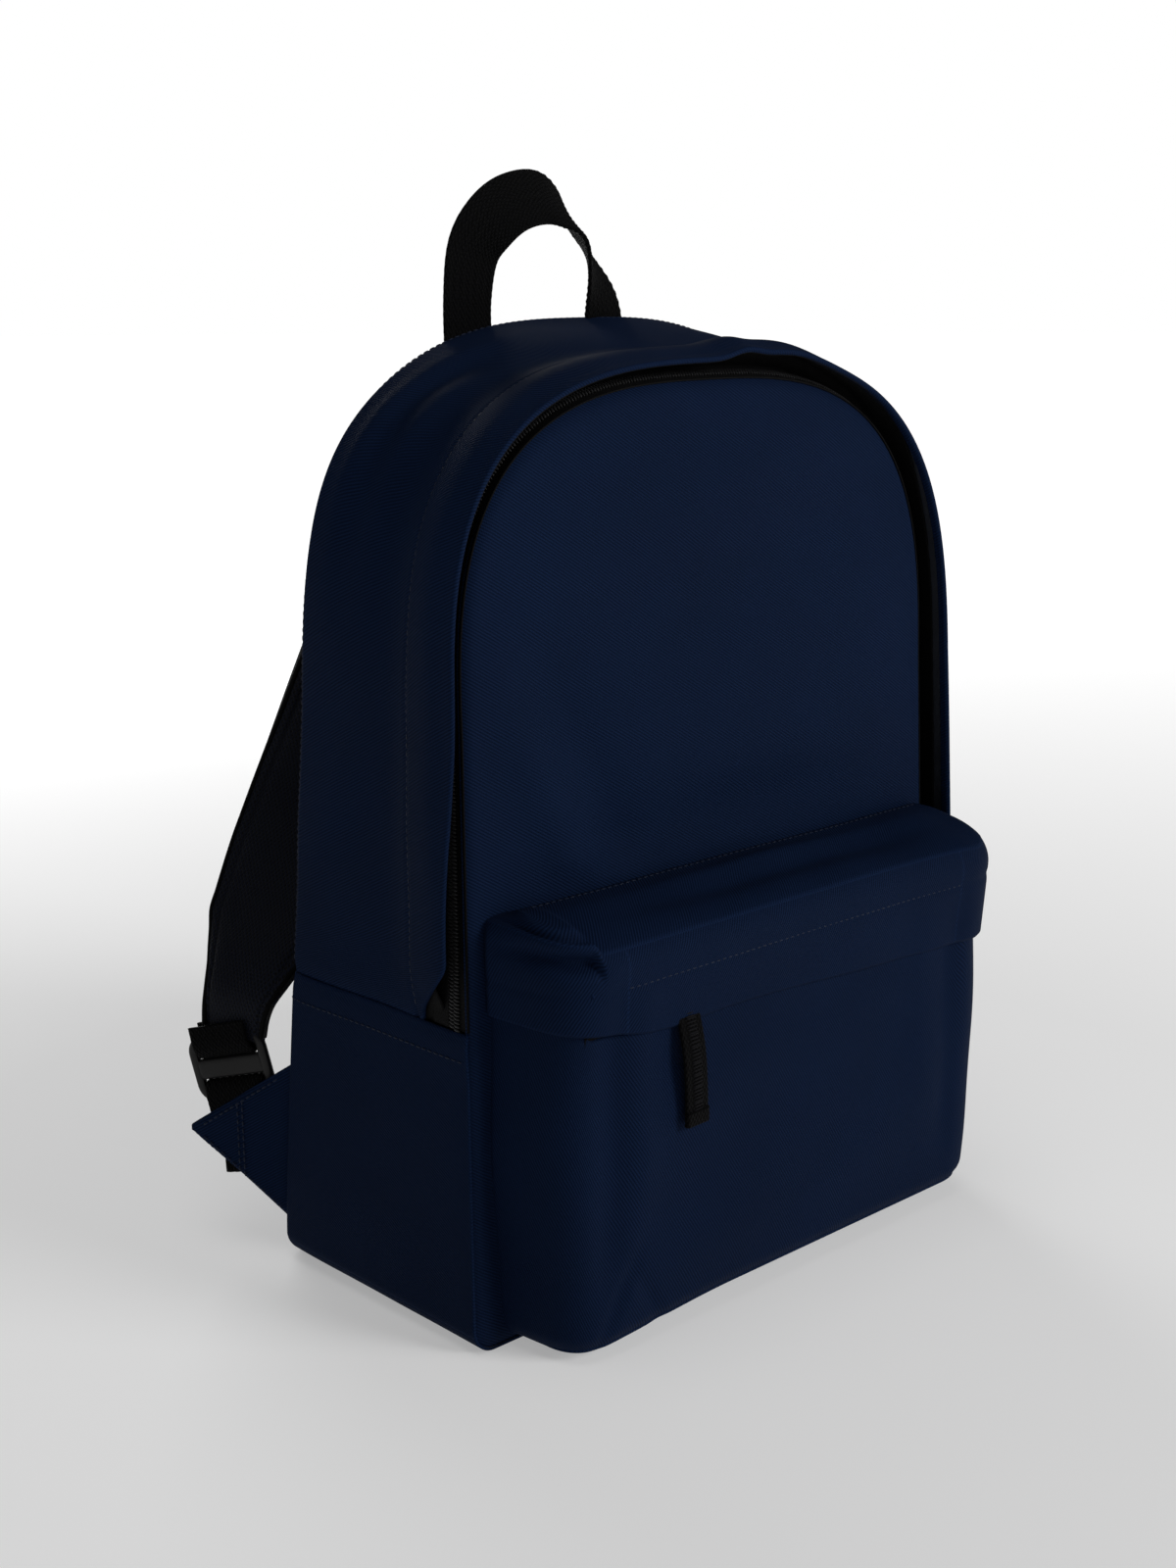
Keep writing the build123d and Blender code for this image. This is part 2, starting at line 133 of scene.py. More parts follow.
def read_line(places, run, line):
    """A line's points, or its directions, at places along its length."""
    return stacked(*(np.interp(places, run, column) for column in line.T))


def eased(count, edge=0.06):
    """0 to 1, closer together near both ends, where seams turn in."""
    t = np.linspace(0, 1, count)
    return t - edge * np.sin(2 * math.pi * t)


def creases(rows, across, along):
    """Soft creases and swellings, added up.

    A row is height, place across, lean, width, and a window along with its two numbers."""
    total = 0.0
    for height, place, lean, width, window, first, second in rows:
        total = total + height * hump(across, place + lean * along, width) * window(along, first, second)
    return total


def depth_y(share, z):
    return lerp(FRONT_Y + FRONT_LEAN * z, BACK_Y - BACK_LEAN * z, share)


def side_half(share, z):
    return lerp(HALF_FRONT, HALF_BACK, share) - SIDE_TAPER * z


def arch_table():
    """Angles of the arch's superellipse against the share of its length."""
    power = 2 / ARCH_POWER
    angle = np.linspace(0, math.pi / 2, 3001)
    x = HALF_FRONT * np.cos(angle).clip(0) ** power
    z = (FRONT_TOP - SHOULDER_Z) * np.sin(angle).clip(0) ** power
    run = np.concatenate([[0], np.cumsum(np.hypot(np.diff(x), np.diff(z)))])
    return run / run[-1], angle


ARCH_RUN, ARCH_ANGLE = arch_table()


def over(way, share, grow):
    """The body's wall from the left side seam (way -1), over the arch, to the right one (way 1)."""
    reach = np.abs(way)
    power = 2 / ARCH_POWER
    angle = np.interp(1 - reach / ARCH_SHARE, ARCH_RUN, ARCH_ANGLE)
    top = lerp(FRONT_TOP, BACK_TOP, share) + grow
    z_arch = SHOULDER_Z + (top - SHOULDER_Z) * np.sin(angle).clip(0) ** power
    x_arch = (side_half(share, SHOULDER_Z) + grow) * np.cos(angle).clip(0) ** power
    z_side = lerp(SHOULDER_Z, SEAM_Z, straight(reach, ARCH_SHARE, 1.0))
    in_arch = reach <= ARCH_SHARE
    z = np.where(in_arch, z_arch, z_side)
    x = np.where(in_arch, x_arch, side_half(share, z_side) + grow)
    return stacked(np.copysign(x, way), depth_y(share, z), z)


def under(way, share, grow):
    """The wall from the left side seam (way -1), under the base, to the right one (way 1)."""
    reach = np.abs(way)
    radius = lerp(*BASE_RADIUS, share)
    half = side_half(share, radius) + grow
    start, end = CORNER_REACH
    along = straight(reach, 0.0, start) * (half - radius)
    turn = straight(reach, start, end) * (math.pi / 2)
    up = straight(reach, end, 1.0) * (SEAM_Z - radius)
    x = along + radius * np.sin(turn) - up * SIDE_TAPER
    z = radius * (1 - np.cos(turn)) + up
    return stacked(np.copysign(x, way), depth_y(share, z), z)


# ---------------------------------------------------------------- meshes from surfaces

CLOTH_THICKNESS = 1.2
SPAN_POINTS = 14                 # of a smooth line, between two of the points it goes through
STITCH = (2.4, 0.80, 0.60)       # length, width and height
STITCH_PITCH = 3.3
STITCH_RISE = 0.12               # a stitch's middle above the cloth
GRAIN_SIDES, GRAIN_RINGS = 6, 5


def grid_faces(rows, columns, flip=False):
    index = np.arange(rows * columns).reshape(rows, columns)
    quads = np.stack([index[:-1, :-1], index[1:, :-1], index[1:, 1:], index[:-1, 1:]], axis=-1)
    quads = quads.reshape(-1, 4)
    return quads[:, ::-1] if flip else quads


def distances(points, axis):
    """How far each point of a grid is along one direction of it, by length."""
    steps = np.linalg.norm(np.diff(points, axis=axis), axis=-1)
    start = np.zeros_like(np.take(steps, [0], axis=axis))
    return np.concatenate([start, np.cumsum(steps, axis=axis)], axis=axis)


def make_piece(name, points, faces, material, weave=None):
    """A mesh object. The weave coordinates are metres along the cloth."""
    mesh = bpy.data.meshes.new(name)
    flat = np.asarray(points, float).reshape(-1, 3)
    mesh.from_pydata((flat * MM).tolist(), [], np.asarray(faces).tolist())
    if weave is not None:
        corner = np.zeros(len(mesh.loops), np.int32)
        mesh.loops.foreach_get("vertex_index", corner)
        layer = mesh.uv_layers.new(name="weave")
        layer.data.foreach_set("uv", (weave.reshape(-1, 2)[corner] * MM).astype(np.float32).ravel())
    mesh.validate()
    mesh.shade_smooth()
    piece = bpy.data.objects.new(name, mesh)
    bpy.context.scene.collection.objects.link(piece)
    mesh.materials.append(material)
    return piece


def cloth_piece(name, points, material, weave=None, flip=False, thickness=CLOTH_THICKNESS,
                inner=None, joined=""):
    """A sheet of cloth from a grid of points, given its thickness behind its face.

    Joined names the sides, out of top, bottom, start and end, that carry on into another piece."""
    rows, columns = points.shape[:2]
    if weave is None:
        middle_row, middle_column = rows // 2, columns // 2
        down = distances(points, 0)[:, middle_column]
        across = distances(points, 1)[middle_row]
        weave = np.stack(grid(down, across), axis=-1)
    piece = make_piece(name, points, grid_faces(rows, columns, flip), material, weave)
    keep_flush(piece, rows, columns, joined)
    solid = piece.modifiers.new("thickness", "SOLIDIFY")
    solid.thickness = thickness * MM
    solid.offset = -1.0
    if inner:
        piece.data.materials.append(inner)
        solid.material_offset = 1
    return piece


def keep_flush(piece, rows, columns, joined):
    """Marks sides as sharp, so that the shading runs straight on into the next piece."""
    inside = {"start": lambda row, column: row == 0, "end": lambda row, column: row == rows - 1,
              "top": lambda row, column: column == 0, "bottom": lambda row, column: column == columns - 1}
    sides = [inside[side] for side in joined.split()]
    if not sides:
        return
    for edge in piece.data.edges:
        places = [divmod(number, columns) for number in edge.vertices]
        edge.use_edge_sharp = any(all(side(*place) for place in places) for side in sides)


def normals_of(surface, first, second):
    """A surface's unit normals, where it is given as a function of two numbers."""
    step = 1e-3
    along = surface(first + step, second) - surface(first - step, second)
    across = surface(first, second + step) - surface(first, second - step)
    return unit(np.cross(along, across))


def resample(points, count):
    """The same line with evenly spaced points."""
    run = distances(points, 0)
    return read_line(np.linspace(0, run[-1], count), run, points)


def smooth_line(points):
    """A Catmull-Rom curve through the points."""
    p = np.asarray(points, float)
    p = np.vstack([2 * p[0] - p[1], p, 2 * p[-1] - p[-2]])
    t = np.linspace(0, 1, SPAN_POINTS, endpoint=False)[:, None]
    spans = []
    for a, b, c, d in zip(p, p[1:], p[2:], p[3:]):
        spans.append(0.5 * (2 * b + (c - a) * t + (2 * a - 5 * b + 4 * c - d) * t ** 2
                            + (3 * b - a - 3 * c + d) * t ** 3))
    return np.vstack(spans + [p[-2:-1]])


def copies(name, shape, faces, places, material, slot):
    """Many copies of one small shape in one mesh. A place is an origin and three axes."""
    points = [origin + shape @ np.stack(axes) for origin, *axes in places]
    count = len(shape)
    all_faces = [faces + number * count for number in range(len(points))]
    return make_piece(name, np.vstack(points), np.vstack(all_faces), material)


def grain(length, width, height):
    """A small rounded bar along x, such as a stitch or a zip's tooth."""
    sides = GRAIN_SIDES
    turn = np.linspace(0, 2 * math.pi, sides, endpoint=False)
    places = np.linspace(-1, 1, GRAIN_RINGS)
    fullness = np.sqrt((1 - (places * 0.93) ** 2).clip(0))[:, None]
    points = stacked(places[:, None] * length / 2, np.cos(turn) * fullness * width / 2,
                     np.sin(turn) * fullness * height / 2)
    faces = []
    for low in range(0, (GRAIN_RINGS - 1) * sides, sides):
        for side in range(sides):
            after = (side + 1) % sides
            faces.append([low + side, low + after, low + sides + after, low + sides + side])
    half = sides // 2
    for start, order in ((0, -1), ((GRAIN_RINGS - 1) * sides, 1)):
        loop = [start + side for side in range(sides)][::order]
        faces.append([loop[0], loop[1], loop[half], loop[half + 1]])
    return points.reshape(-1, 3), np.array(faces)


def stitches(name, line, normals, material, slot="navy", size=STITCH, pitch=STITCH_PITCH):
    """A row of stitches along a line that lies on cloth with these normals."""
    run = distances(line, 0)
    count = max(int(run[-1] / pitch), 2)
    places = (np.arange(count) + 0.5) * run[-1] / count
    origins = read_line(places, run, line)
    along = unit(read_line(places + 0.4, run, line) - read_line(places - 0.4, run, line))
    outward = unit(read_line(places, run, normals))
    across = unit(np.cross(outward, along))
    shape, faces = grain(*size)
    origins = origins + outward * STITCH_RISE
    return copies(name, shape, faces, zip(origins, along, across, outward), material, slot)


def surface_stitches(name, surface, first, second, material, flip=False, **settings):
    """A row of stitches on a surface, along a line in its two numbers."""
    normals = normals_of(surface, first, second) * (-1 if flip else 1)
    return stitches(name, surface(first, second), normals, material, **settings)


# ---------------------------------------------------------------- materials

def add(tree, kind, *values, **settings):
    """A node with its settings, whose inputs are linked to sockets or set to values in order."""
    node = tree.nodes.new(kind)
    for key, value in settings.items():
        setattr(node, key, value)
    for number, value in enumerate(values):
        if isinstance(value, bpy.types.NodeSocket):
            tree.links.new(value, node.inputs[number])
        elif value is not None:
            node.inputs[number].default_value = value
    return node


def calc(tree, operation, a, b=0.0, c=0.0):
    return add(tree, "ShaderNodeMath", a, b, c, operation=operation).outputs[0]


def times(tree, a, b):
    return calc(tree, "MULTIPLY", a, b)


def plus(tree, a, b):
    return calc(tree, "ADD", a, b)


def scaled(tree, value, factor, offset):
    return calc(tree, "MULTIPLY_ADD", value, factor, offset)


def remap(tree, value, low, high, start=0.0, end=1.0):
    """Low where the value is at start, high where it is at end."""
    return add(tree, "ShaderNodeMapRange", value, start, end, low, high).outputs[0]


def tint(tree, colour, factor):
    """A colour made darker or lighter by a number."""
    node = add(tree, "ShaderNodeVectorMath", operation="SCALE")
    if isinstance(colour, bpy.types.NodeSocket):
        tree.links.new(colour, node.inputs[0])
    else:
        node.inputs[0].default_value = colour
    tree.links.new(factor, node.inputs["Scale"])
    return node.outputs[0]


def weave_axes(tree):
    """The cloth's own two coordinates, in metres, and both as one vector."""
    uv = add(tree, "ShaderNodeUVMap", uv_map="weave")
    split = add(tree, "ShaderNodeSeparateXYZ", uv.outputs[0])
    return split.outputs[0], split.outputs[1], uv.outputs[0]


def wave(tree, coordinate, pitch, shift=0.0):
    """0 to 1 and back once for each pitch."""
    turns = scaled(tree, coordinate, 2 * math.pi / pitch, shift)
    return scaled(tree, calc(tree, "SINE", turns), 0.5, 0.5)


def soft_noise(tree, scale, detail=3.0, vector=None):
    """Noise in the object's own space, with scale in features per metre."""
    if vector is None:
        vector = add(tree, "ShaderNodeTexCoord").outputs["Object"]
    node = tree.nodes.new("ShaderNodeTexNoise")
    tree.links.new(vector, node.inputs["Vector"])
    node.inputs["Scale"].default_value = scale
    node.inputs["Detail"].default_value = detail
    return node.outputs[0]


def worn(tree):
    """1 on sharp raised edges, 0 elsewhere."""
    pointed = add(tree, "ShaderNodeNewGeometry").outputs["Pointiness"]
    return remap(tree, pointed, 0.0, 1.0, 0.51, 0.60)


def finish_shader(tree, colour, roughness, height, depth, **constants):
    """Joins colour, roughness and relief to the shader, and sets its constant sockets."""
    shader = tree.nodes["Principled BSDF"]
    tree.links.new(colour, shader.inputs["Base Color"])
    tree.links.new(roughness, shader.inputs["Roughness"])
    relief = tree.nodes.new("ShaderNodeBump")
    relief.inputs["Strength"].default_value = 1.0
    relief.inputs["Distance"].default_value = depth
    tree.links.new(height, relief.inputs["Height"])
    tree.links.new(relief.outputs[0], shader.inputs["Normal"])
    for socket, value in constants.items():
        shader.inputs[socket.replace("_", " ")].default_value = value


def new_material(name):
    material = bpy.data.materials.new(name)
    material.use_nodes = True
    return material, material.node_tree


NAVY = (0.0036, 0.0092, 0.0285)
TWILL_PITCH = 0.00115
TWILL_ANGLE = math.radians(58)


def twill(name, colour, depth=0.00016):
    """Polyester twill: fine diagonal ribs, each broken up by the yarns that cross it."""
    material, tree = new_material(name)
    u, v, both = weave_axes(tree)
    slanted = plus(tree, times(tree, u, math.sin(TWILL_ANGLE)),
                   times(tree, v, math.cos(TWILL_ANGLE)))
    rib = wave(tree, slanted, TWILL_PITCH)
    yarn = wave(tree, v, TWILL_PITCH * 0.62)
    fuzz = soft_noise(tree, 1500.0, 2.0, both)
    cloudy = soft_noise(tree, 9.0, 4.0)
    blotch = soft_noise(tree, 55.0, 3.0)
    # The cloudy noise makes large soft patches lighter and darker. This is partly the cloth's uneven dye and
    # partly painted shade standing in for the soft shading of wrinkles.
    shade = times(tree, remap(tree, rib, 0.60, 1.34), remap(tree, cloudy, 0.76, 1.24))
    shade = times(tree, shade, remap(tree, blotch, 0.93, 1.07))
    shade = plus(tree, shade, times(tree, worn(tree), 0.35))
    height = plus(tree, times(tree, rib, 0.7), times(tree, yarn, 0.2))
    height = plus(tree, height, times(tree, fuzz, 0.15))
    roughness = scaled(tree, cloudy, 0.14, 0.62)
    finish_shader(tree, tint(tree, colour, shade), roughness, height, depth,
                  Specular_IOR_Level=0.02, Sheen_Weight=0.003, Sheen_Roughness=0.5)
    return material


def ribbed(name, colour, pitch, cross_pitch, depth, specular=0.14):
    """Webbing and tape: ribs along the width, crossed by rows of yarn."""
    material, tree = new_material(name)
    u, v, both = weave_axes(tree)
    lengthways = wave(tree, u, pitch)
    crossways = wave(tree, v, cross_pitch)
    basket = calc(tree, "ABSOLUTE", calc(tree, "SUBTRACT", lengthways, crossways))
    fuzz = soft_noise(tree, 2200.0, 2.0, both)
    cloudy = soft_noise(tree, 30.0, 3.0)
    shade = times(tree, remap(tree, basket, 0.6, 1.5), remap(tree, cloudy, 0.8, 1.2))
    shade = plus(tree, shade, times(tree, worn(tree), 0.5))
    height = plus(tree, times(tree, basket, 0.85), times(tree, fuzz, 0.2))
    roughness = scaled(tree, fuzz, 0.2, 0.50)
    finish_shader(tree, tint(tree, colour, shade), roughness, height, depth,
                  Specular_IOR_Level=specular, Sheen_Weight=0.01, Sheen_Roughness=0.5)
    return material


def spacer_mesh(name, colour):
    """Padded mesh: rows of round holes, each row shifted by half a hole."""
    material, tree = new_material(name)
    u, v, _ = weave_axes(tree)
    pitch = 0.0030
    hole = times(tree, wave(tree, u, pitch), wave(tree, v, pitch * 0.577))
    second = times(tree, wave(tree, u, pitch, math.pi), wave(tree, v, pitch * 0.577, math.pi))
    holes = calc(tree, "MAXIMUM", hole, second)
    deep = remap(tree, holes, 0.0, 1.0, 0.45, 0.75)
    cloudy = soft_noise(tree, 12.0)
    shade = times(tree, remap(tree, deep, 1.15, 0.22), remap(tree, cloudy, 0.85, 1.15))
    height = calc(tree, "SUBTRACT", 1.0, deep)
    roughness = scaled(tree, cloudy, 0.1, 0.62)
    finish_shader(tree, tint(tree, colour, shade), roughness, height, 0.0006,
                  Specular_IOR_Level=0.12, Sheen_Weight=0.02, Sheen_Roughness=0.5)
    return material


def lining_cloth(name, colour):
    """Thin coated taffeta: a tight plain weave with a soft gloss."""
    material, tree = new_material(name)
    u, v, _ = weave_axes(tree)
    plain = times(tree, wave(tree, u, 0.0006), wave(tree, v, 0.0006))
    creases = soft_noise(tree, 60.0, 5.0)
    shade = times(tree, remap(tree, plain, 0.85, 1.1), remap(tree, creases, 0.8, 1.2))
    height = plus(tree, times(tree, plain, 0.15), creases)
    roughness = scaled(tree, creases, 0.2, 0.32)
    finish_shader(tree, tint(tree, colour, shade), roughness, height, 0.0008, Specular_IOR_Level=0.45)
    return material


def moulded(name, colour, rough, metallic=0.0, grain_size=900.0):
    """Moulded plastic or enamelled metal, with a fine grain and rubbed edges."""
    material, tree = new_material(name)
    pits = soft_noise(tree, grain_size, 4.0)
    smears = soft_noise(tree, 60.0, 3.0)
    shade = plus(tree, remap(tree, smears, 0.8, 1.2), times(tree, worn(tree), 1.6))
    roughness = scaled(tree, smears, 0.25, rough)
    finish_shader(tree, tint(tree, colour, shade), roughness, pits, 0.00006,
                  Specular_IOR_Level=0.22, Metallic=metallic)
    return material


def thread(name, colour):
    """Twisted sewing thread."""
    material, tree = new_material(name)
    twist = soft_noise(tree, 2600.0, 1.0)
    shade = remap(tree, twist, 0.7, 1.3)
    roughness = scaled(tree, twist, 0.2, 0.4)
    finish_shader(tree, tint(tree, colour, shade), roughness, twist, 0.00012,
                  Specular_IOR_Level=0.15, Sheen_Weight=0.02)
    return material


TWILL = twill("navy_twill", NAVY)
NAVY_THREAD = thread("navy_thread", (0.0030, 0.0078, 0.0240))
BLACK_THREAD = thread("black_thread", (0.008, 0.008, 0.009))
TAPE = ribbed("zip_tape_weave", (0.0018, 0.0018, 0.0020), 0.0016, 0.0009, 0.00010, 0.04)
WEBBING = ribbed("webbing_weave", (0.0016, 0.0016, 0.0018), 0.0030, 0.0017, 0.00040, 0.03)
# The mesh's colour is its own dark navy, darkened further as painted shade for the shadow on the straps'
# inner faces.
MESH = spacer_mesh("spacer_mesh", (0.0016, 0.0028, 0.0080))
LINING = lining_cloth("coated_lining", (0.030, 0.034, 0.045))
COIL = moulded("nylon_coil", (0.0220, 0.0220, 0.0230), 0.25)
ENAMEL = moulded("black_enamel", (0.0060, 0.0060, 0.0066), 0.25, 0.4)
ACETAL = moulded("black_acetal", (0.0022, 0.0022, 0.0024), 0.34)


# ---------------------------------------------------------------- main compartment

FLAP_STITCH_SHARE = 0.27
REAR_STITCH_SHARE = 0.962
GUSSET_REAR = 0.990
GUSSET_FOLD = (                  # place across the cloth, share past the edge, depth below the face
    (0.00, 0.030, 2.7), (0.05, 0.004, 2.4), (0.075, -0.005, 1.7),
    (0.095, -0.007, 0.9), (0.115, -0.002, 0.1), (0.14, 0.012, 0.0),
)
BACK_CHANNELS_X = (-100.0, -34.0, 34.0, 100.0)
BACK_CHANNELS_Z = (44.0, 118.0, 192.0, 266.0, 326.0)
PANEL_MIDDLE = np.array([0.0, 0.0, 205.0])
FRONT_CREASES = (                # rows for creases(), across in x and along in z
    (4.6, -29.2, 0.20, 62, hump, 198, 15),
    (3.8, 28.0, -0.45, 16, ramp, 178, 200), (-3.8, 28.0, -0.45, 16, ramp, 230, 300),
    (-4.0, 2.0, -0.45, 14, ramp, 178, 195), (4.0, 2.0, -0.45, 14, ramp, 230, 300),
)


def wall_swell(way, share, lower):
    """How far the wall stands out of its plain outline: it is fuller between its seams."""
    points = stacked(way * 400, share * 130, 40.0 if lower else 0.0)
    between = np.sin(math.pi * share.clip(0, 1))
    swell = between * (2.2 + 0.9 * ripple(points, 85, 11 if lower else 12))
    rear = 3.0 * ramp(share, 0.45, 0.92) * (1.2 if lower else ramp(np.abs(way), 0.35, 0.6))
    seam_dip = -1.2 * hump(share, 1.0, 0.020)
    return swell + rear * (1 - ramp(share, 0.95, 0.99)) + seam_dip


def gusset_folds(way, share):
    """Soft folds where the gusset goes over the upper left shoulder, and small ones at the right."""
    left = hump(way, -0.37 + 0.05 * (share - 0.6), 0.13)
    drift = share + 0.10 * (way + 0.40)
    folds = 1.9 * hump(drift, 0.80, 0.060) - 1.7 * hump(drift, 0.69, 0.055) + 1.3 * hump(drift, 0.56, 0.060)
    folds = folds - 0.8 * hump(drift, 0.46, 0.05)
    dent = -1.8 * hump(way + 0.3 * (share - 0.6), -0.24, 0.06) * hump(share, 0.62, 0.20)
    low = -1.4 * hump(way + 0.25 * share, -0.66, 0.05) + 1.1 * hump(way + 0.25 * share, -0.56, 0.05)
    dent = dent + low * hump(share, 0.60, 0.30)
    right = hump(way, 0.50, 0.15) * (1.2 * hump(share, 0.66, 0.06) - 1.0 * hump(share, 0.55, 0.05))
    shoulders = 5.0 * hump(np.abs(way), 0.42, 0.13) * ramp(share, 0.35, 0.92) * (1 - ramp(share, 0.94, 0.99))
    return 0.75 * left * folds + dent + right + shoulders


def flare(way, share):
    """The gusset opens out towards the folded edge that covers the zip."""
    settle = lerp(1.0, 0.12, ramp(np.abs(way), 0.93, 1.0))
    return edge_rise(way) * settle * ramp(-share, -0.43, -0.06)


def edge_rise(way):
    """How far the folded edge stands proud: most at the top, with a small peak right of the middle."""
    sides = lerp(8.8, 13.0, ramp(way, 0.2, 0.7))
    rise = lerp(9.2, sides, ramp(np.abs(way), 0.15, 0.8))
    return rise + 2.6 * hump(way, 0.050, 0.030) + 3.0 * hump(way, 0.13, 0.07)


def edge_share(way):
    """Where the folded edge lies through the depth. Its lower corners are drawn back."""
    left = 0.090 * ramp(-way, 0.60, 0.90)
    corner = 0.205 * ramp(np.abs(way), 0.915, 1.0)
    return -0.052 + left + corner


def gusset_at(way, share):
    """The gusset's outer face."""
    grow = wall_swell(way, share, False) + gusset_folds(way, share) + flare(way, share)
    crease = -0.7 * hump(share, FLAP_STITCH_SHARE, 0.012)
    return over(way, share, grow + crease - 1.0 * hump(np.abs(way), 1.0, 0.012))


def gusset(first, second):
    """The gusset with its front edge folded in: inner layer, fold, then the outer face."""
    way = lerp(-1.0, 1.0, first)
    edge = edge_share(way)
    places, steps, drops = zip(*GUSSET_FOLD)
    step = np.interp(second, places, steps)
    share = edge + step + straight(second, places[-1], 1.0) * (GUSSET_REAR - edge - step)
    drop = np.interp(second, places, drops)
    return gusset_at(way, share) - normals_of(gusset_at, way, share) * drop[..., None]


def lower_wall(way, share):
    """Side panels and base as one surface, from the left side seam (way -1) to the right one."""
    fade = ramp(np.abs(way), CORNER_REACH[0] - 0.1, CORNER_REACH[1] + 0.1)
    grow = wall_swell(way, share, True) * fade
    flared = flare(np.copysign(1.0, way), share) * ramp(np.abs(way), 0.93, 1.0)
    return under(way, share, grow + flared - 1.0 * hump(np.abs(way), 1.0, 0.012))


def inside(x, z, share, steepness):
    """1 deep inside the body's D-shaped outline at a share of the depth, and 0 on it."""
    half = side_half(share, np.minimum(z, SHOULDER_Z))
    rise = ((z - SHOULDER_Z) / (lerp(FRONT_TOP, BACK_TOP, share) - SHOULDER_Z)).clip(0)
    edge = ((np.abs(x) / half) ** ARCH_POWER + rise ** ARCH_POWER) ** (1 / ARCH_POWER)
    return (1 - edge ** steepness).clip(0)


def front_hollows(x, z):
    """Soft hollows where the filled pocket pulls on the front, and a fold up from its left end."""
    across = 2.0 * hump(z - 0.35 * x, 285, 26) - 1.6 * hump(z - 0.3 * x, 330, 22)
    return creases(FRONT_CREASES, x, z) + across


def front_y(x, z):
    """The front panel's surface: a shallow pillow with slight waves."""
    pillow = 4.0 * ramp(z, 120, 230) + 0.8 * ripple(stacked(x, 0.0, z), 150, 5)
    return depth_y(0.0, z) + (front_hollows(x, z) - pillow) * inside(x, z, 0.0, 5)


def back_y(x, z):
    """The padded back: fuller between its sewn channels."""
    full = inside(x, z, 1.0, 6) * ramp(z, 2, 30)
    channels = np.zeros_like(x)
    for centre in BACK_CHANNELS_X:
        channels = np.maximum(channels, hump(x, centre, 2.6) * ramp(z, 40, 48) * ramp(-z, -330, -322))
    for height in BACK_CHANNELS_Z:
        channels = np.maximum(channels, hump(z, height, 2.6) * ramp(-np.abs(x), -104, -96))
    crown = 4.5 - 3.2 * channels + 0.4 * ripple(stacked(x, 0.0, z), 70, 9)
    return depth_y(1.0, z) + crown * full


def outline(share, grow=0.0, side_points=150):
    """The closed D-shaped outline at a share of the depth, from the base's middle round the left."""
    left_low = under(np.linspace(-1e-6, -1, side_points), share, grow)
    arch = over(np.linspace(-1, 1, 4 * side_points), share, grow)
    right_low = under(np.linspace(1, 1e-6, side_points), share, grow)
    return np.vstack([left_low[:-1], arch, right_low[1:]])


def filled(share, surface_y, rings, columns, turned_in):
    """A panel that fills the outline. Its edge turns in to meet the wall."""
    rim = resample(outline(share, -0.4), columns)
    near_rim = (0.955, 0.968, 0.980, 0.990, 0.9965, 1.0)
    reach = np.concatenate([[0.004], np.linspace(0.03, 0.94, rings), near_rim])
    points = lerp(PANEL_MIDDLE, rim, reach[:, None, None])
    points[..., 1] = surface_y(points[..., 0], points[..., 2])
    roll = (reach - 0.965).clip(0) / 0.035
    points[..., 1] += turned_in * (roll ** 2)[:, None]
    last = points[-1:].copy()
    last[..., 1] += turned_in * 0.8
    last[..., [0, 2]] = lerp(PANEL_MIDDLE[[0, 2]], last[..., [0, 2]], 0.994)
    return np.concatenate([points, last])


def close_middle(piece):
    """Closes the small hole in the middle of a filled panel with one face."""
    work = bmesh.new()
    work.from_mesh(piece.data)
    bmesh.ops.remove_doubles(work, verts=work.verts, dist=1e-6)
    middle = Vector(PANEL_MIDDLE * MM)
    near = [edge for edge in work.edges if edge.is_boundary
            and abs(edge.verts[0].co.x - middle.x) < 0.01 and abs(edge.verts[0].co.z - middle.z) < 0.015]
    bmesh.ops.holes_fill(work, edges=near, sides=0)
    bmesh.ops.recalc_face_normals(work, faces=work.faces)
    work.to_mesh(piece.data)
    work.free()


def hinge_blend(piece):
    """Bakes the piece's placement into its mesh. The piece is not split at the front's hinge line and does
    not turn with the front.
    """
    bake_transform(piece)


def panel_sheet(name, share, surface_y, rings, columns, turned_in, flip):
    points = filled(share, surface_y, rings, columns, turned_in)
    sheet = cloth_piece(name, points, TWILL, points[..., [2, 0]], flip=flip, inner=LINING)
    close_middle(sheet)
    return sheet


def main_panels():
    across = np.concatenate([np.linspace(0, 0.14, 18, endpoint=False), 0.14 + 0.86 * eased(72)])
    around, through = grid(np.linspace(0, 1, 360), across)
    top = cloth_piece("zip_gusset_cloth", gusset(around, through), TWILL, inner=LINING)
    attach(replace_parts(top, "zip_gusset", "storm_flap", "back_seam_binding"), "bag")
    side_start = CORNER_REACH[1] - 0.02
    for name, node, start, end in (("left_side_cloth", "left_side_panel", -1.0, -side_start),
                                   ("base_cloth", "bottom_panel", -side_start, side_start),
                                   ("right_side_cloth", "right_side_panel", side_start, 1.0)):
        count = int(130 * (end - start)) + 20
        around, through = grid(np.linspace(start, end, count), lerp(0.012, GUSSET_REAR, eased(80)))
        part = cloth_piece(name, lower_wall(around, through), TWILL, flip=True, inner=LINING)
        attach(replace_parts(part, node), "bag")
    front = panel_sheet("front_panel_cloth", 0.0, front_y, 110, 420, 2.6, True)
    hinge_blend(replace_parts(front, "front_panel_lower", "front_panel_upper"))
    pad = panel_sheet("back_pad_cloth", 1.0, back_y, 120, 460, -3.0, False)
    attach(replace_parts(pad, "back_panel", "back_foam", "back_lining"), "bag")


main_panels()


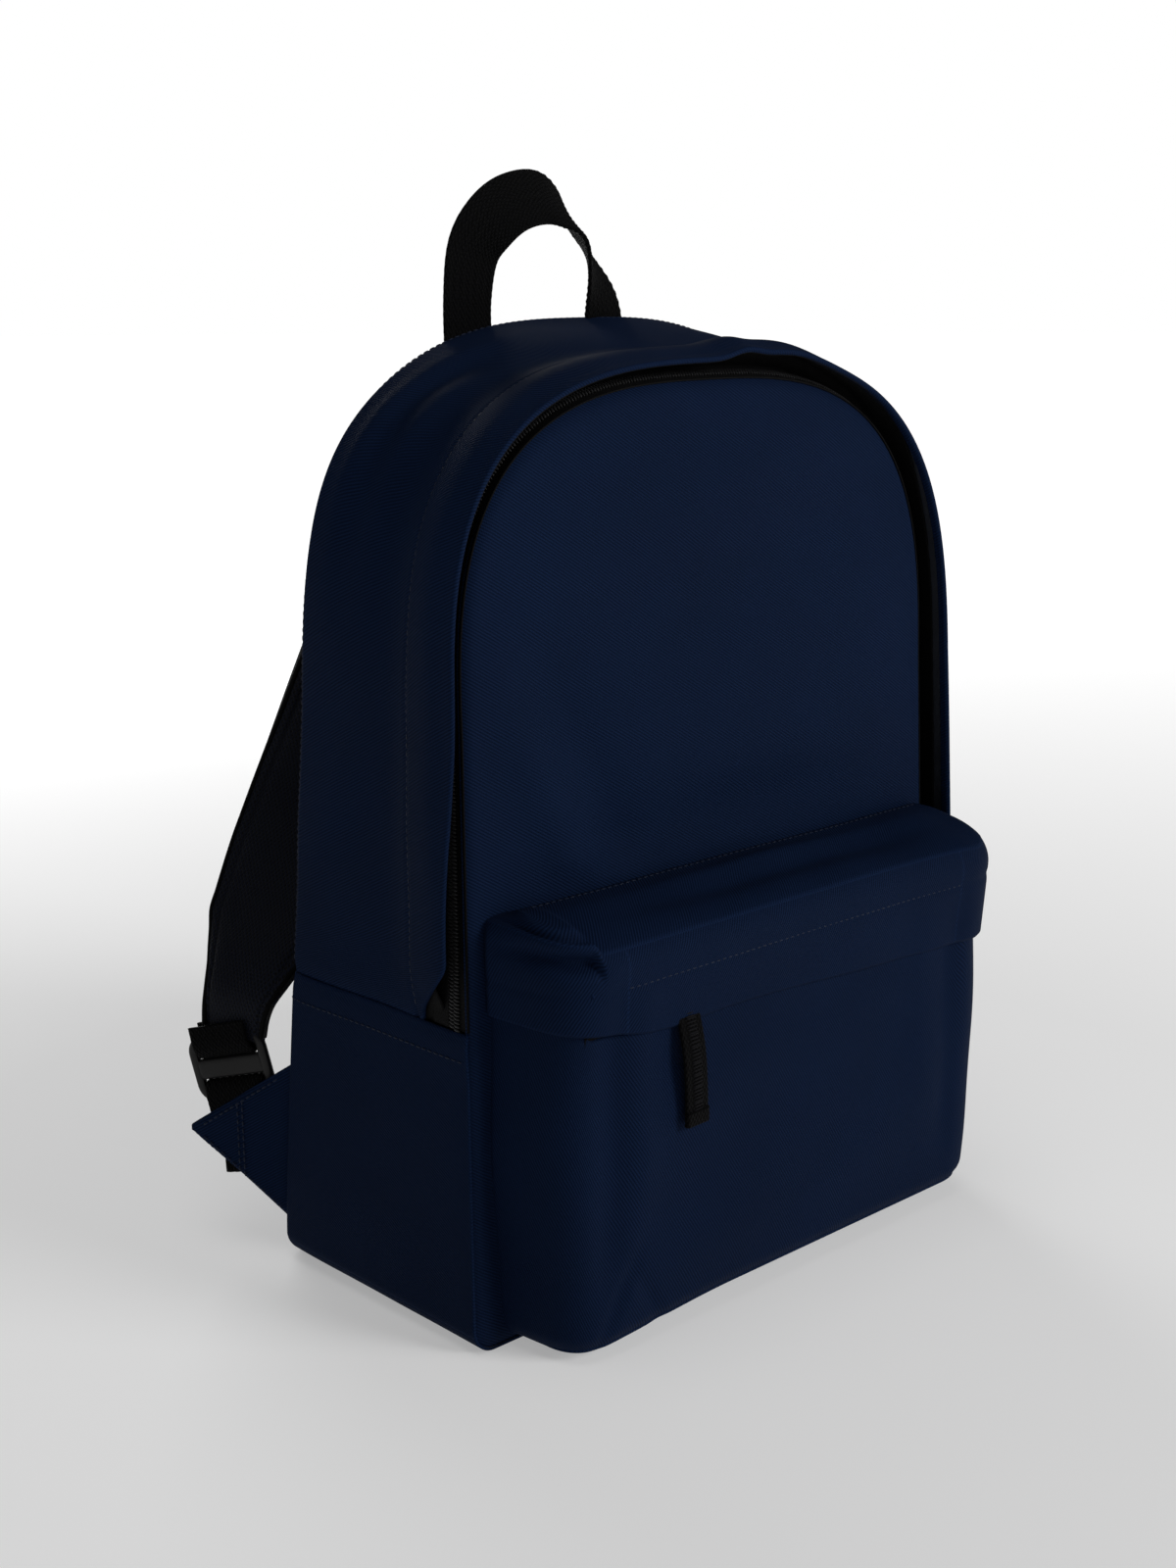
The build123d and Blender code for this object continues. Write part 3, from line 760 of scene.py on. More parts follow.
def body_stitches():
    """Topstitching along the folded edge, above the side seams and beside the back seam."""
    way = np.linspace(-0.985, 0.985, 900)
    rows = (("fold_stitches", FLAP_STITCH_SHARE), ("rear_gusset_stitches", REAR_STITCH_SHARE))
    for name, share in rows:
        place = np.full_like(way, share)
        row = surface_stitches(name, gusset_at, way, place, NAVY_THREAD)
        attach(row, "bag")
    share = np.linspace(0.03, 0.975, 120)
    for name, side in (("left_seam_stitches", -0.965), ("right_seam_stitches", 0.965)):
        place = np.full_like(share, side)
        row = surface_stitches(name, lower_wall, place, share, NAVY_THREAD, flip=True)
        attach(row, "bag")


body_stitches()


# ---------------------------------------------------------------- main zip

INNER_TAPE = (0.012, 0.0555)     # shares of the depth
TAPE_THICKNESS = 0.6
TAPE_ROUTE = (                   # place across the tape, share of the depth, share of the edge's rise
    (0.0, 0.0, 1.0), (0.45, 0.130, 1.0), (0.53, 0.165, 0.93), (0.60, 0.185, 0.70), (0.67, 0.192, 0.40),
    (0.74, 0.185, 0.12), (0.80, 0.165, 0.02), (1.0, 0.1055, 0.0),
)
TAPE_STITCH = {"size": (1.9, 0.5, 0.35), "pitch": 2.6}
TOOTH = (3.4, 1.05, 1.9)         # length, width and height
TOOTH_PITCH = 1.5
TOOTH_DEPTH = -0.4               # of a coil's middle, from the wall's plain outline


def outer_tape(way, second):
    """Black tape from the folded edge, along its inside, and down to the outer coil."""
    places, shares, highs = zip(*TAPE_ROUTE)
    rise = flare(way, edge_share(way))
    high = np.interp(second, places, highs)
    low = np.interp(second, places, shares)
    start = edge_share(way) + 0.008 + 0.070 * ramp(way, 0.25, 0.5) * (1 - ramp(way, 0.90, 1.0))
    share = np.where(second < places[1], lerp(start, shares[1], second / places[1]), low)
    return over(way, share, (rise - 1.9) * high - 0.6 * (1 - high))


def tooth_places(share, way, shift):
    """Where a coil's teeth go, each lying across the zip."""
    def coil(way, share):
        return over(way, share, TOOTH_DEPTH)

    run = distances(coil(way, np.full_like(way, share)), 0)
    at = (np.arange(int(run[-1] / TOOTH_PITCH)) + shift) * TOOTH_PITCH
    way_at = np.interp(at, run, way)
    shares = np.full_like(way_at, share)
    along = unit(coil(way_at + 1e-3, shares) - coil(way_at - 1e-3, shares))
    across = unit(coil(way_at, shares + 1e-3) - coil(way_at, shares - 1e-3))
    return zip(coil(way_at, shares), unit(across + 0.22 * along), along, unit(np.cross(along, across)))


def main_zip():
    way = np.linspace(-0.998, 0.998, 420)
    outer = outer_tape(*grid(way, np.linspace(0, 1, 40)))
    tape = cloth_piece("main_outer_tape_weave", outer, TAPE, thickness=TAPE_THICKNESS)
    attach(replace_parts(tape, "main_zip_outer_tape"), "bag")
    inner = over(*grid(way, np.linspace(*INNER_TAPE, 10)), -0.7)
    tape = cloth_piece("main_inner_tape_weave", inner, TAPE, thickness=TAPE_THICKNESS)
    hinge_blend(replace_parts(tape, "main_zip_inner_tape_lower", "main_zip_inner_tape_upper"))
    shape, faces = grain(*TOOTH)
    teeth = copies("main_outer_teeth", shape, faces, tooth_places(0.0925, way, 0.5), COIL, "zip_coil")
    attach(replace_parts(teeth, "main_zip_outer_coil"), "bag")
    teeth = copies("main_inner_teeth", shape, faces, tooth_places(0.0690, way, 0.0), COIL, "zip_coil")
    hinge_blend(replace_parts(teeth, "main_zip_inner_coil_lower", "main_zip_inner_coil_upper"))
    for name, second in (("tape_stitches_near", 0.05), ("tape_stitches_far", 0.14)):
        row = surface_stitches(name, outer_tape, way, np.full_like(way, second), BLACK_THREAD, flip=True,
                               slot="zip_tape", **TAPE_STITCH)
        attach(row, "bag")


main_zip()


# ---------------------------------------------------------------- front pocket

POCKET = box_mm("pocket_body")
FLAP = box_mm("pocket_flap")
POCKET_BACK_Y = -56.0
POCKET_NARROWING = 9.0           # each side leans in by this much from the body to the front
POCKET_CORNER = 18.0
POCKET_SEAM_Z = 178.0
POCKET_WALL_TOP = POCKET[1][2] + 8.0
POCKET_DRAW = (0.968, 1.055)     # the cloth sits a little to the right of the pattern
POCKET_CREASES = (               # rows for creases(), across in x and along in z
    (-3.60, -104.0, 0.03, 7.5, ramp, 5, 60), (1.26, -104.0, 0.03, 7.5, ramp, 100, 140),
    (1.80, -86.0, 0.00, 9.0, ramp, 20, 90), (-1.80, -108.5, 0.50, 4.0, hump, 24, 16),
    (-1.40, -68.0, -0.60, 4.5, hump, 20, 14), (-1.80, 103.0, 0.00, 7.0, ramp, 10, 60),
    (1.00, 84.0, 0.00, 10.0, ramp, 20, 90),
)
SEAM_ENDS = (-114.0, 124.0)
HOOD_CROWN = np.array([0.0, -0.32, 0.90])     # the way the hood's cloth swells
FOLD_TOP = FLAP[1][2] + 4.0
FOLD_ROLL = 3.2
FLAP_THICKNESS = 1.6
STITCH_DROP = 15.0
FLAP_LOW = (139.5, FLAP[0][2] - 2.0)     # the flap's lower edge, at the left and at the right


def plan_line():
    """Half of the pocket's plan, from the body at the left to the middle of its front."""
    half = POCKET[1][0]
    front = POCKET[0][1]
    side_start = np.array([-half, POCKET_BACK_Y])
    corner = np.array([-half + POCKET_NARROWING, front])
    back = unit(side_start - corner)
    right = np.array([1.0, 0.0])
    t = np.linspace(0, 1, 60)[:, None]
    start, end = corner + back * POCKET_CORNER, corner + right * POCKET_CORNER
    curve = (1 - t) ** 2 * start + 2 * t * (1 - t) * corner + t ** 2 * end
    line = np.vstack([lerp(side_start, start, t)[:-1], curve, lerp(end, np.array([0.0, front]), t)[1:]])
    run = distances(line, 0)
    return run / run[-1], line


PLAN_RUN, PLAN_LINE = plan_line()


def plan(along):
    """A point of the pocket's plan and its outward direction. Along goes from -1, left, to 1, right."""
    reach = 1 - np.abs(along)
    step = 1e-3
    point, ahead, behind = (read_line(reach + shift, PLAN_RUN, PLAN_LINE) for shift in (0, step, -step))
    tangent = unit(ahead - behind)
    outward = stacked(tangent[..., 1], -tangent[..., 0])
    mirror = stacked(np.where(along > 0, -1.0, 1.0), 1.0)
    draw = stacked(np.where(along > 0, POCKET_DRAW[1], POCKET_DRAW[0]), 1.0)
    return point * mirror * draw, outward * mirror


def off_body(along):
    """1 along the pocket, and 0 where its sides meet the body."""
    return 1 - ramp(np.abs(along), 0.965, 1.0)


def moved_out(along, move, z):
    """Points of the pocket's plan, moved outward, at these heights."""
    point, outward = plan(along)
    flat = point + outward * move[..., None]
    return stacked(flat[..., 0], flat[..., 1], z)


def along_at(x):
    """Where along the plan the front of the pocket has this x."""
    front = np.interp(-abs(x), PLAN_LINE[:, 0], PLAN_RUN)
    return math.copysign(1 - front, x)


DART_ALONG = along_at(-104.0) - 0.055
FLAP_SPLIT = along_at(98.0)


def pocket_creases(x, z):
    """Soft creases in the pocket's front: one beside the left corner, small ones near the base."""
    return creases(POCKET_CREASES, x, z) - 1.0 * hump(z, 120 + 0.05 * x, 9) * hump(x, -20, 60)


def pocket_wall(along, height):
    """The pocket's front and sides. Height goes from 0 at the base seam to 1 under the flap."""
    x = plan(along)[0][..., 0]
    wall_top = POCKET_WALL_TOP + 9.0 * ramp(np.abs(x), 108, 116)
    base = POCKET[0][2] - 3.5 * ramp(-x, 30, 116)
    z = lerp(base, wall_top, height)
    swell = 3.0 * np.sin(math.pi * height.clip(0, 1)) ** 0.7
    swell = swell + 0.8 * ramp(z, 10, 40) * ripple(stacked(x, 0.0, z), 75, 21)
    tucked = -3.2 * (1 - ramp(z, base - 3, base + 7)) ** 1.4 - 2.2 * ramp(z, wall_top - 2.5, wall_top)
    return moved_out(along, (swell + pocket_creases(x, z)) * off_body(along) + tucked, z)


def pocket_floor(along, second):
    """The pocket's underside, from the body forward to the base seam."""
    rim = pocket_wall(along, np.zeros_like(along))
    back = rim.copy()
    back[..., 1] = POCKET_BACK_Y
    place = lerp(back, rim, second[..., None])
    place[..., 2] += 1.2 * np.sin(math.pi * second)
    return place


def flap_low(x):
    """The flap's lower edge hangs lower at the right than at the left."""
    return lerp(*FLAP_LOW, straight(x, -125, 125) ** 0.72) - 3.0 * hump(x, -72, 26)


def lip(along):
    """Where spare cloth stands up as a pinched lip, from the seam's left end to the left corner."""
    return ramp(along, -1.0, DART_ALONG - 0.02) * (1 - ramp(along, DART_ALONG, DART_ALONG + 0.028))


def fold_z(along):
    """The fold runs level across the front, dips at the corners and climbs to the seam at the sides."""
    reach = np.abs(along)
    height = np.where(along < 0, POCKET_SEAM_Z - 1.0 - FOLD_TOP, -2.0)
    climb = height * ramp(reach, abs(DART_ALONG), 1.0)
    return FOLD_TOP + climb + 4.6 * lip(along) - 1.5 * hump(along, -DART_ALONG, 0.05)


def fold_lift(along, x):
    """How far the fold stands off the pocket's plan."""
    lift = hood_lift(x, np.full_like(x, FOLD_TOP)) - FOLD_ROLL
    return lift * lerp(0.25, 1.0, off_body(along)) + 1.6 * lip(along)


def hood(along, second):
    """The pocket's top, from its seam on the front panel to the fold above the flap."""
    x = plan(along)[0][..., 0]
    seam_x = x.clip(*SEAM_ENDS)
    seam = stacked(seam_x, front_y(seam_x, np.full_like(seam_x, POCKET_SEAM_Z)) - 0.6, POCKET_SEAM_Z)
    fold = moved_out(along, fold_lift(along, x), fold_z(along))
    place = lerp(seam, fold, second[..., None])
    arch = np.sin(math.pi * second)
    crown = 3.6 * arch ** 0.6 * (1 - ramp(np.abs(along), 0.80, 1.0))
    drape = hump(place[..., 0], 10, 75)
    crown = crown + 1.0 * arch * ripple(place * np.array([1.0, 1.0, 0.0]), 60, 31)
    crown = crown + drape * (1.5 * hump(second, 0.28, 0.10) - 2.6 * hump(second, 0.56, 0.14))
    crown = crown - 4.5 * lip(along) * hump(second, 0.82, 0.09)
    return place + crown[..., None] * HOOD_CROWN


def hood_lift(x, z):
    """How far the flap stands off the pocket's plan."""
    right = 2.5 * ramp(x, 60, 118)
    return lerp(3.0, 5.0, ramp(z, 120, FOLD_TOP)) + right + 0.5 * np.sin(x / 19.0) * ramp(-z, -160, -130)


def flap_face(along, second):
    """The flap, from the fold (0) down to its lower edge (1)."""
    x = plan(along)[0][..., 0]
    z = lerp(fold_z(along), flap_low(x), second)
    lift = hood_lift(x, np.maximum(z, 120)) + 0.6 * pocket_creases(x, z) * ramp(second, 0.2, 0.8)
    lift = lift + 0.9 * second * ripple(stacked(x, 0.0, z), 70, 41) * ramp(second, 0, 0.2)
    roll = -FOLD_ROLL * (1 - straight(second, 0.0, 0.22)) ** 2 - 1.0 * ramp(second, 0.965, 1.0)
    pinch = lip(along) * (1.6 * (1 - ramp(second, 0.0, 0.10)) - 6.5 * hump(second, 0.20, 0.09))
    pull = -0.5 * hump(z, FOLD_TOP - STITCH_DROP, 1.6)
    return moved_out(along, (lift + roll + pull) * lerp(0.25, 1.0, off_body(along)) + pinch, z)


def pocket_pieces():
    wall = pocket_wall(*grid(np.linspace(-1, 1, 260), eased(64, 0.10)))
    piece = cloth_piece("pocket_body_cloth", wall, TWILL, inner=LINING)
    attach(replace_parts(piece, "pocket_body"), "bag")
    floor = pocket_floor(*grid(np.linspace(-1, 1, 260), np.linspace(0, 1, 16)))
    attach(cloth_piece("pocket_floor_cloth", floor, TWILL, flip=True), "bag")
    top = hood(*grid(np.linspace(-1, 1, 420), np.linspace(0, 1, 46)))
    piece = cloth_piece("pocket_top_cloth", top, TWILL, flip=True, inner=LINING, joined="bottom")
    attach(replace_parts(piece, "pocket_top_panel"), "bag")
    for name, start, end, joined in (("pocket_flap_left", -1.0, -FLAP_SPLIT, "top end"),
                                     ("pocket_flap_middle", -FLAP_SPLIT, FLAP_SPLIT, "top start end"),
                                     ("pocket_flap_right", FLAP_SPLIT, 1.0, "top start")):
        count = int(220 * (end - start)) + 12
        face = flap_face(*grid(np.linspace(start, end, count), eased(44, 0.10)))
        piece = cloth_piece(name, face, TWILL, flip=True, inner=LINING, thickness=FLAP_THICKNESS,
                            joined=joined)
        if name == "pocket_flap_middle":
            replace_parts(piece, "pocket_flap")
            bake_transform(piece)
        else:
            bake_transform(piece)


def pocket_stitches():
    along = np.linspace(along_at(-112.0), along_at(116.0), 300)
    second = np.full_like(along, 0.07)
    row = surface_stitches("pocket_seam_stitches", hood, along, second, NAVY_THREAD, flip=True)
    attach(row, "bag")
    up = np.linspace(0.04, 0.98, 200)
    for name, place in (("pocket_left_seam_stitches", -0.988), ("pocket_right_seam_stitches", 0.988)):
        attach(surface_stitches(name, pocket_wall, np.full_like(up, place), up, NAVY_THREAD), "bag")
    along = np.linspace(-FLAP_SPLIT, FLAP_SPLIT, 300)
    second = STITCH_DROP / (FOLD_TOP - flap_low(plan(along)[0][..., 0]))
    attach(surface_stitches("flap_stitches", flap_face, along, second, NAVY_THREAD), "pocket_cover")


pocket_pieces()
pocket_stitches()


# ---------------------------------------------------------------- bands, webbing and rods

BAND_STEP = 0.7
BASKET = (3.2, 3.4)              # the weave's pitch, along the band and across it
WEB_WIDTH = 24.5
WEB_RELIEF = 0.22
ROD_SIDES = 14
ROD_POWER = 0.6                  # 1 is an ellipse; less is squarer


def interpolate(stations):
    """Smooth centres and width directions through a few stations."""
    centres, across = (smooth_line(line) for line in zip(*stations))
    run = distances(centres, 0)
    places = np.linspace(0, run[-1], max(int(run[-1] / BAND_STEP), 12))
    centres, across = read_line(places, run, centres), unit(read_line(places, run, unit(across)))
    along = unit(np.gradient(centres, axis=0))
    normals = unit(np.cross(along, across))
    return centres, unit(np.cross(normals, along)), normals, places


def section(width, thickness, count=30):
    """A flat band's closed outline: offsets across and along the normal, starting at one edge."""
    half, thin = width / 2 - thickness / 2, thickness / 2
    turn = np.linspace(math.pi / 2, -math.pi / 2, 7)[1:-1]
    right = stacked(half + thin * np.cos(turn), thin * np.sin(turn))
    left = -right
    upper = stacked(np.linspace(-half, half, count), thin)
    lower = -upper
    return np.vstack([left[2:], upper, right, lower, left[:3]])


def band(name, stations, width, thickness, material, basket=0.0):
    """Webbing or tape as a closed band, with its woven basket raised on both faces."""
    centres, across, normals, run = interpolate(stations)
    ring = section(width, thickness)
    around = distances(ring, 0)
    side = np.clip(ring[:, 1] / (thickness / 2), -1, 1)
    weave = np.stack(grid(run, around), axis=-1)
    relief = np.zeros((len(run), len(ring)))
    if basket:
        rows = np.sin(2 * math.pi * weave[..., 0] / BASKET[0])
        columns = np.sin(2 * math.pi * weave[..., 1] / BASKET[1])
        relief = basket * rows * columns * np.abs(side)
    points = (centres[:, None] + across[:, None] * ring[None, :, :1]
              + normals[:, None] * (ring[None, :, 1:] + (relief * side)[..., None]))
    return capped(make_piece(name, points, grid_faces(*points.shape[:2]), material, weave))


def capped(piece):
    """Joins a band's seam and closes its two cut ends."""
    work = bmesh.new()
    work.from_mesh(piece.data)
    bmesh.ops.remove_doubles(work, verts=work.verts, dist=1e-6)
    bmesh.ops.holes_fill(work, edges=[edge for edge in work.edges if edge.is_boundary], sides=0)
    bmesh.ops.recalc_face_normals(work, faces=work.faces)
    work.to_mesh(piece.data)
    work.free()
    return piece


def rod(name, line, width, thickness, material, up, closed=False):
    """A moulded bar with a rounded square section along a line."""
    along = unit(np.roll(line, -1, 0) - np.roll(line, 1, 0)) if closed else unit(np.gradient(line, axis=0))
    across = unit(np.cross(np.broadcast_to(up, line.shape), along))
    normal = np.cross(along, across)
    turn = np.linspace(0, 2 * math.pi, ROD_SIDES, endpoint=False)
    x, y = (np.sign(wave) * np.abs(wave) ** ROD_POWER for wave in (np.cos(turn), np.sin(turn)))
    points = (line[:, None] + across[:, None] * (x * width / 2)[None, :, None]
              + normal[:, None] * (y * thickness / 2)[None, :, None])
    points = np.concatenate([points, points[:, :1]], axis=1)
    if closed:
        points = np.concatenate([points, points[:1]])
    return capped(make_piece(name, points, grid_faces(*points.shape[:2]), material))


# ---------------------------------------------------------------- haul handle

HANDLE_STATIONS = (              # centre, width direction
    ((-60.5, 28.5, 383.0), (-1.0, 0.0, 0.0)),
    ((-60.5, 28.5, 404.0), (-1.0, 0.0, 0.0)),
    ((-57.5, 28.0, 423.0), (-0.97, 0.12, 0.20)),
    ((-49.5, 26.5, 434.5), (-0.72, 0.30, 0.63)),
    ((-37.0, 27.0, 442.0), (-0.36, 0.38, 0.85)),
    ((-21.0, 28.5, 444.5), (-0.02, 0.45, 0.89)),
    ((-9.0, 29.5, 440.0), (0.12, 0.64, 0.76)),
    ((0.0, 30.0, 431.0), (0.38, 0.89, 0.25)),
    ((7.0, 29.5, 419.0), (0.72, 0.69, 0.0)),
    ((12.5, 28.5, 403.0), (0.96, 0.28, 0.0)),
    ((14.5, 28.5, 383.0), (1.0, 0.0, 0.0)),
)


def haul_handle():
    handle = band("haul_handle_webbing", HANDLE_STATIONS, WEB_WIDTH, 2.0, WEBBING, basket=0.28)
    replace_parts(handle, "haul_handle")
    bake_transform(handle)


haul_handle()


# ---------------------------------------------------------------- pullers and pocket zip

RIB = ribbed("puller_rib", (0.0036, 0.0036, 0.0046), 0.0008, 0.0012, 0.00012, 0.05)
RIB_SIZE = (5.4, 0.95, 0.8)
RIB_PITCH = 1.25
PULLER_ROUTE = (                 # across, forward and down from the slider's middle
    (0, 0, -4), (0, 0, 3), (0, 2.4, 12), (0.4, 4.0, 22), (1.0, 4.4, 34), (1.6, 4.2, 45), (1.8, 4.1, 50))
MAIN_PULLER_ROUTE = ((0, -4), (0, 3), (0.4, 12), (1.2, 22), (1.6, 34), (1.6, 45), (1.5, 50))    # out, down
HEM_PLACES = ((-9, 0.2), (-4, 0.2), (-1, 0.1))    # point of the tab's line, and height above it
POCKET_TOOTH = (3.2, 1.05, 1.9)
POCKET_STRIP = (150.0, 159.0)    # lowest and highest level of the cloth above the pocket's zip


def puller(name, node, route, across, body):
    """A folded tape tab with a ribbed strip down its middle and a thicker sewn end."""
    stations = [(point, across) for point in route]
    tab = band(name + "_tab", stations, 12.0, 1.7, WEBBING)
    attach(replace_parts(tab, node), body)
    centres, side, normals, run = interpolate(stations)
    outward = -normals if np.dot(normals[0], np.cross(across, (0, 0, 1.0))) < 0 else normals
    rib_places = []
    for place in np.linspace(6.0, run[-1] - 4.0, int((run[-1] - 9) / RIB_PITCH)):
        number = int(np.argmin(np.abs(run - place)))
        origin = centres[number] + outward[number] * 0.95
        rib_places.append((origin, side[number], np.cross(outward[number], side[number]), outward[number]))
    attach(copies(name + "_ribs", *grain(*RIB_SIZE), rib_places, RIB, "webbing"), body)
    hem = [(centres[number] + outward[number] * rise, across) for number, rise in HEM_PLACES]
    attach(band(name + "_hem", hem, 12.6, 2.7, WEBBING), body)


def pocket_coil(name, node, side, shift, half, tape_y, meeting):
    """One row of the pocket zip's teeth: the lower (side -1) or the upper one (side 1)."""
    axes = [unit(np.array(axis)) for axis in ((0.2, 0.0, side), (1.0, 0.0, -0.2 * side), (0.0, -side, 0.0))]
    places = []
    for number in range(int(2 * half / TOOTH_PITCH)):
        origin = np.array([-half + (number + shift + 0.3) * TOOTH_PITCH, tape_y, meeting + side * 1.25])
        places.append((origin, *axes))
    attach(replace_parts(copies(name, *grain(*POCKET_TOOTH), places, COIL, "zip_coil"), node), "bag")


def pocket_zip():
    """The zip under the flap and its upper strip of cloth."""
    low, high = box_mm("pocket_zip_lower_tape"), box_mm("pocket_zip_upper_tape")
    half = high[1][0]
    tape_y = (low[0][1] + low[1][1]) / 2
    meeting = (low[1][2] + high[0][2]) / 2
    x = np.linspace(-half, half, 160)
    for name, node, tape in (("pocket_lower_tape_weave", "pocket_zip_lower_tape", low),
                             ("pocket_upper_tape_weave", "pocket_zip_upper_tape", high)):
        across, up = grid(x, np.linspace(tape[0][2], tape[1][2], 8))
        points = stacked(across, tape_y + 0.25 * np.sin(across / 17.0), up)
        piece = cloth_piece(name, points, TAPE, thickness=TAPE_THICKNESS)
        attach(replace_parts(piece, node), "bag")
    pocket_coil("pocket_lower_teeth", "pocket_zip_lower_coil", -1.0, 0.0, half, tape_y, meeting)
    pocket_coil("pocket_upper_teeth", "pocket_zip_upper_coil", 1.0, 0.5, half, tape_y, meeting)
    across, up = grid(x, np.linspace(*POCKET_STRIP, 14))
    bulge = 0.8 * np.sin(math.pi * straight(up, *POCKET_STRIP))
    strip = stacked(across, POCKET[0][1] - bulge, up)
    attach(cloth_piece("pocket_upper_strip", strip, TWILL, flip=True), "bag")


def pullers():
    low, high = box_mm("pocket_slider")
    x, _, z = (low + high) / 2
    route = [(x + right, low[1] + 1.1 - forward, z - down) for right, forward, down in PULLER_ROUTE]
    puller("pocket_puller_cloth", "pocket_puller", route, (1.0, 0.0, 0.0), "pocket_zip_puller")
    low, high = box_mm("main_slider")
    _, y, z = (low + high) / 2
    route = [(high[0] - 1.4 + out, y - 0.03 * down, z - down) for out, down in MAIN_PULLER_ROUTE]
    puller("main_puller_cloth", "main_puller", route, (0.03, 1.0, 0.0), "main_zip_puller")


def colour_nodes():
    """The sliders and stops keep their CAD shape and get a material."""
    for name, material in (("main_slider", ENAMEL), ("pocket_slider", ENAMEL), ("pocket_zip_stops", COIL)):
        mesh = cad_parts[name].data
        mesh.materials.clear()
        mesh.materials.append(material)


pocket_zip()
pullers()
colour_nodes()


# ---------------------------------------------------------------- shoulder straps

STRAP_STATIONS = (               # centre, width direction, width; the left strap
    ((-50.0, 35.0, 379.0), (-1.0, 0.0, 0.0), 54.0),
    ((-48.0, 55.0, 352.0), (-1.0, 0.03, 0.0), 60.0),
    ((-48.0, 79.0, 310.0), (-0.99, 0.10, 0.0), 60.0),
    ((-58.0, 98.0, 262.0), (-0.95, 0.28, 0.05), 60.0),
    ((-80.0, 107.0, 203.0), (-0.85, 0.50, 0.10), 58.0),
    ((-106.0, 100.0, 165.0), (-0.70, 0.68, 0.05), 58.0),
    ((-126.0, 92.5, 140.0), (-0.52, 0.85, 0.0), 57.0),
    ((-139.5, 87.5, 124.0), (-0.45, 0.89, 0.0), 42.0),
)
STRAP_FOOT = (                   # beside the tab: out, up and away from it, and the width
    (25.0, 111.0, 6.5, 32.0),
    (26.5, 95.0, 4.1, 29.0),
)
STRAP_THICKNESS = 9.0
STRAP_SEAM = 0.80                # of the way from a strap's middle to its edge
TAB_ANGLE = math.radians(25)
TAB_ROOT = np.array([-143.0, 60.5, 0.0])
TAB_OUT = np.array([-math.sin(TAB_ANGLE), math.cos(TAB_ANGLE), 0.0])
TAB_AWAY = np.array([math.cos(TAB_ANGLE), math.sin(TAB_ANGLE), 0.0])
UP = np.array([0.0, 0.0, 1.0])
LOCK_TURN = math.radians(-15)
LOCK_CENTRE = TAB_ROOT + 28.0 * TAB_OUT + 81.5 * UP
LOCK_X = TAB_OUT * math.cos(LOCK_TURN) + UP * math.sin(LOCK_TURN)
LOCK_Y = np.cross(TAB_AWAY, LOCK_X)
STRAP_SKIN = 0.8
TAB_STITCHES = (                 # name, then out and up at the start and at the end
    ("upper", (1.0, 82.0), (40.0, 54.3)), ("lower", (1.0, 22.0), (40.0, 49.5)),
    ("cross", (22.0, 35.5), (22.0, 68.0)), ("cross_near", (19.5, 33.5), (19.5, 70.0)),
)
WEB_IN_LOCK = 29.0
WEB_ROUTE = (                    # in the lock's axes: from the tab, round the middle bar and down as a tail
    (0, -30, 0), (0, -20, 0), (0, -11.5, 0.3), (0, -7.3, 1.6), (0, -5.5, 4.2), (0, -7.5, 6.9),
    (0, -13, 8.0), (1.5, -24, 8.8), (3.5, -36, 8.6), (5.5, -47, 7.4),
)
HEM_ROUTE = WEB_ROUTE[-2:] + ((5.8, -49.5, 7.2),)
LOOP_ROUTE = (                   # from the strap, round the middle bar and back
    (0, 20, 0.6), (0, 11.5, 0.2), (0, 7.3, 1.6), (0, 5.5, 4.1), (0, 7.3, 6.8), (0, 11.5, 8.0), (0, 20, 7.6),
)
LOCK_HALF = (17.8, 13.0)
LOCK_CORNER = 6.0
LOCK_LEVEL = 4.1                 # of the lock's middle, away from the tab's plane
LOCK_BARS = (                    # name, place up the lock, width, bow in the middle
    ("middle", 0.0, 9.5, 0.0), ("upper", 11.5, 4.2, 0.2), ("lower", -12.4, 5.6, 0.5),
)
GRIP_SIZE = (3.0, 0.9, 0.9)


def on_tab(out, up, away):
    """A point in the tab's own axes: out from the side seam, up, and away from the bag's front."""
    return TAB_ROOT + out * TAB_OUT + up * UP + away * TAB_AWAY


def on_lock(x, y, z):
    """A point in the ladder lock's own axes: along its bars, up the strap, away from the front."""
    return LOCK_CENTRE + x * LOCK_X + y * LOCK_Y + z * TAB_AWAY


def mirrored(points, side):
    """The left strap's points, or the right strap's as their mirror image."""
    return points * np.array([-side, 1.0, 1.0])


def strap_frame():
    """The padded strap's centres, width directions, normals, widths and places along its length."""
    stations = list(STRAP_STATIONS)
    for out, height, away, width in STRAP_FOOT:
        stations.append((on_tab(out, height, away), TAB_OUT, width))
    points, directions, widths = zip(*stations)
    centres, across, normals, run = interpolate(list(zip(points, directions)))
    lengths = distances(np.array(points), 0)
    return centres, across, normals, np.interp(run / run[-1], lengths / lengths[-1], widths), run


STRAP = strap_frame()


def strap_taper(run):
    """The padding thins towards both ends of the strap."""
    return np.minimum(ramp(run, -6, 16), ramp(run[-1] - run, -3, 22)) * 0.75 + 0.25


def strap_crown(place):
    """How full the padding is from one edge of the strap (-1) to the other (1)."""
    return (1 - np.abs(place) ** 3.2) ** 0.55


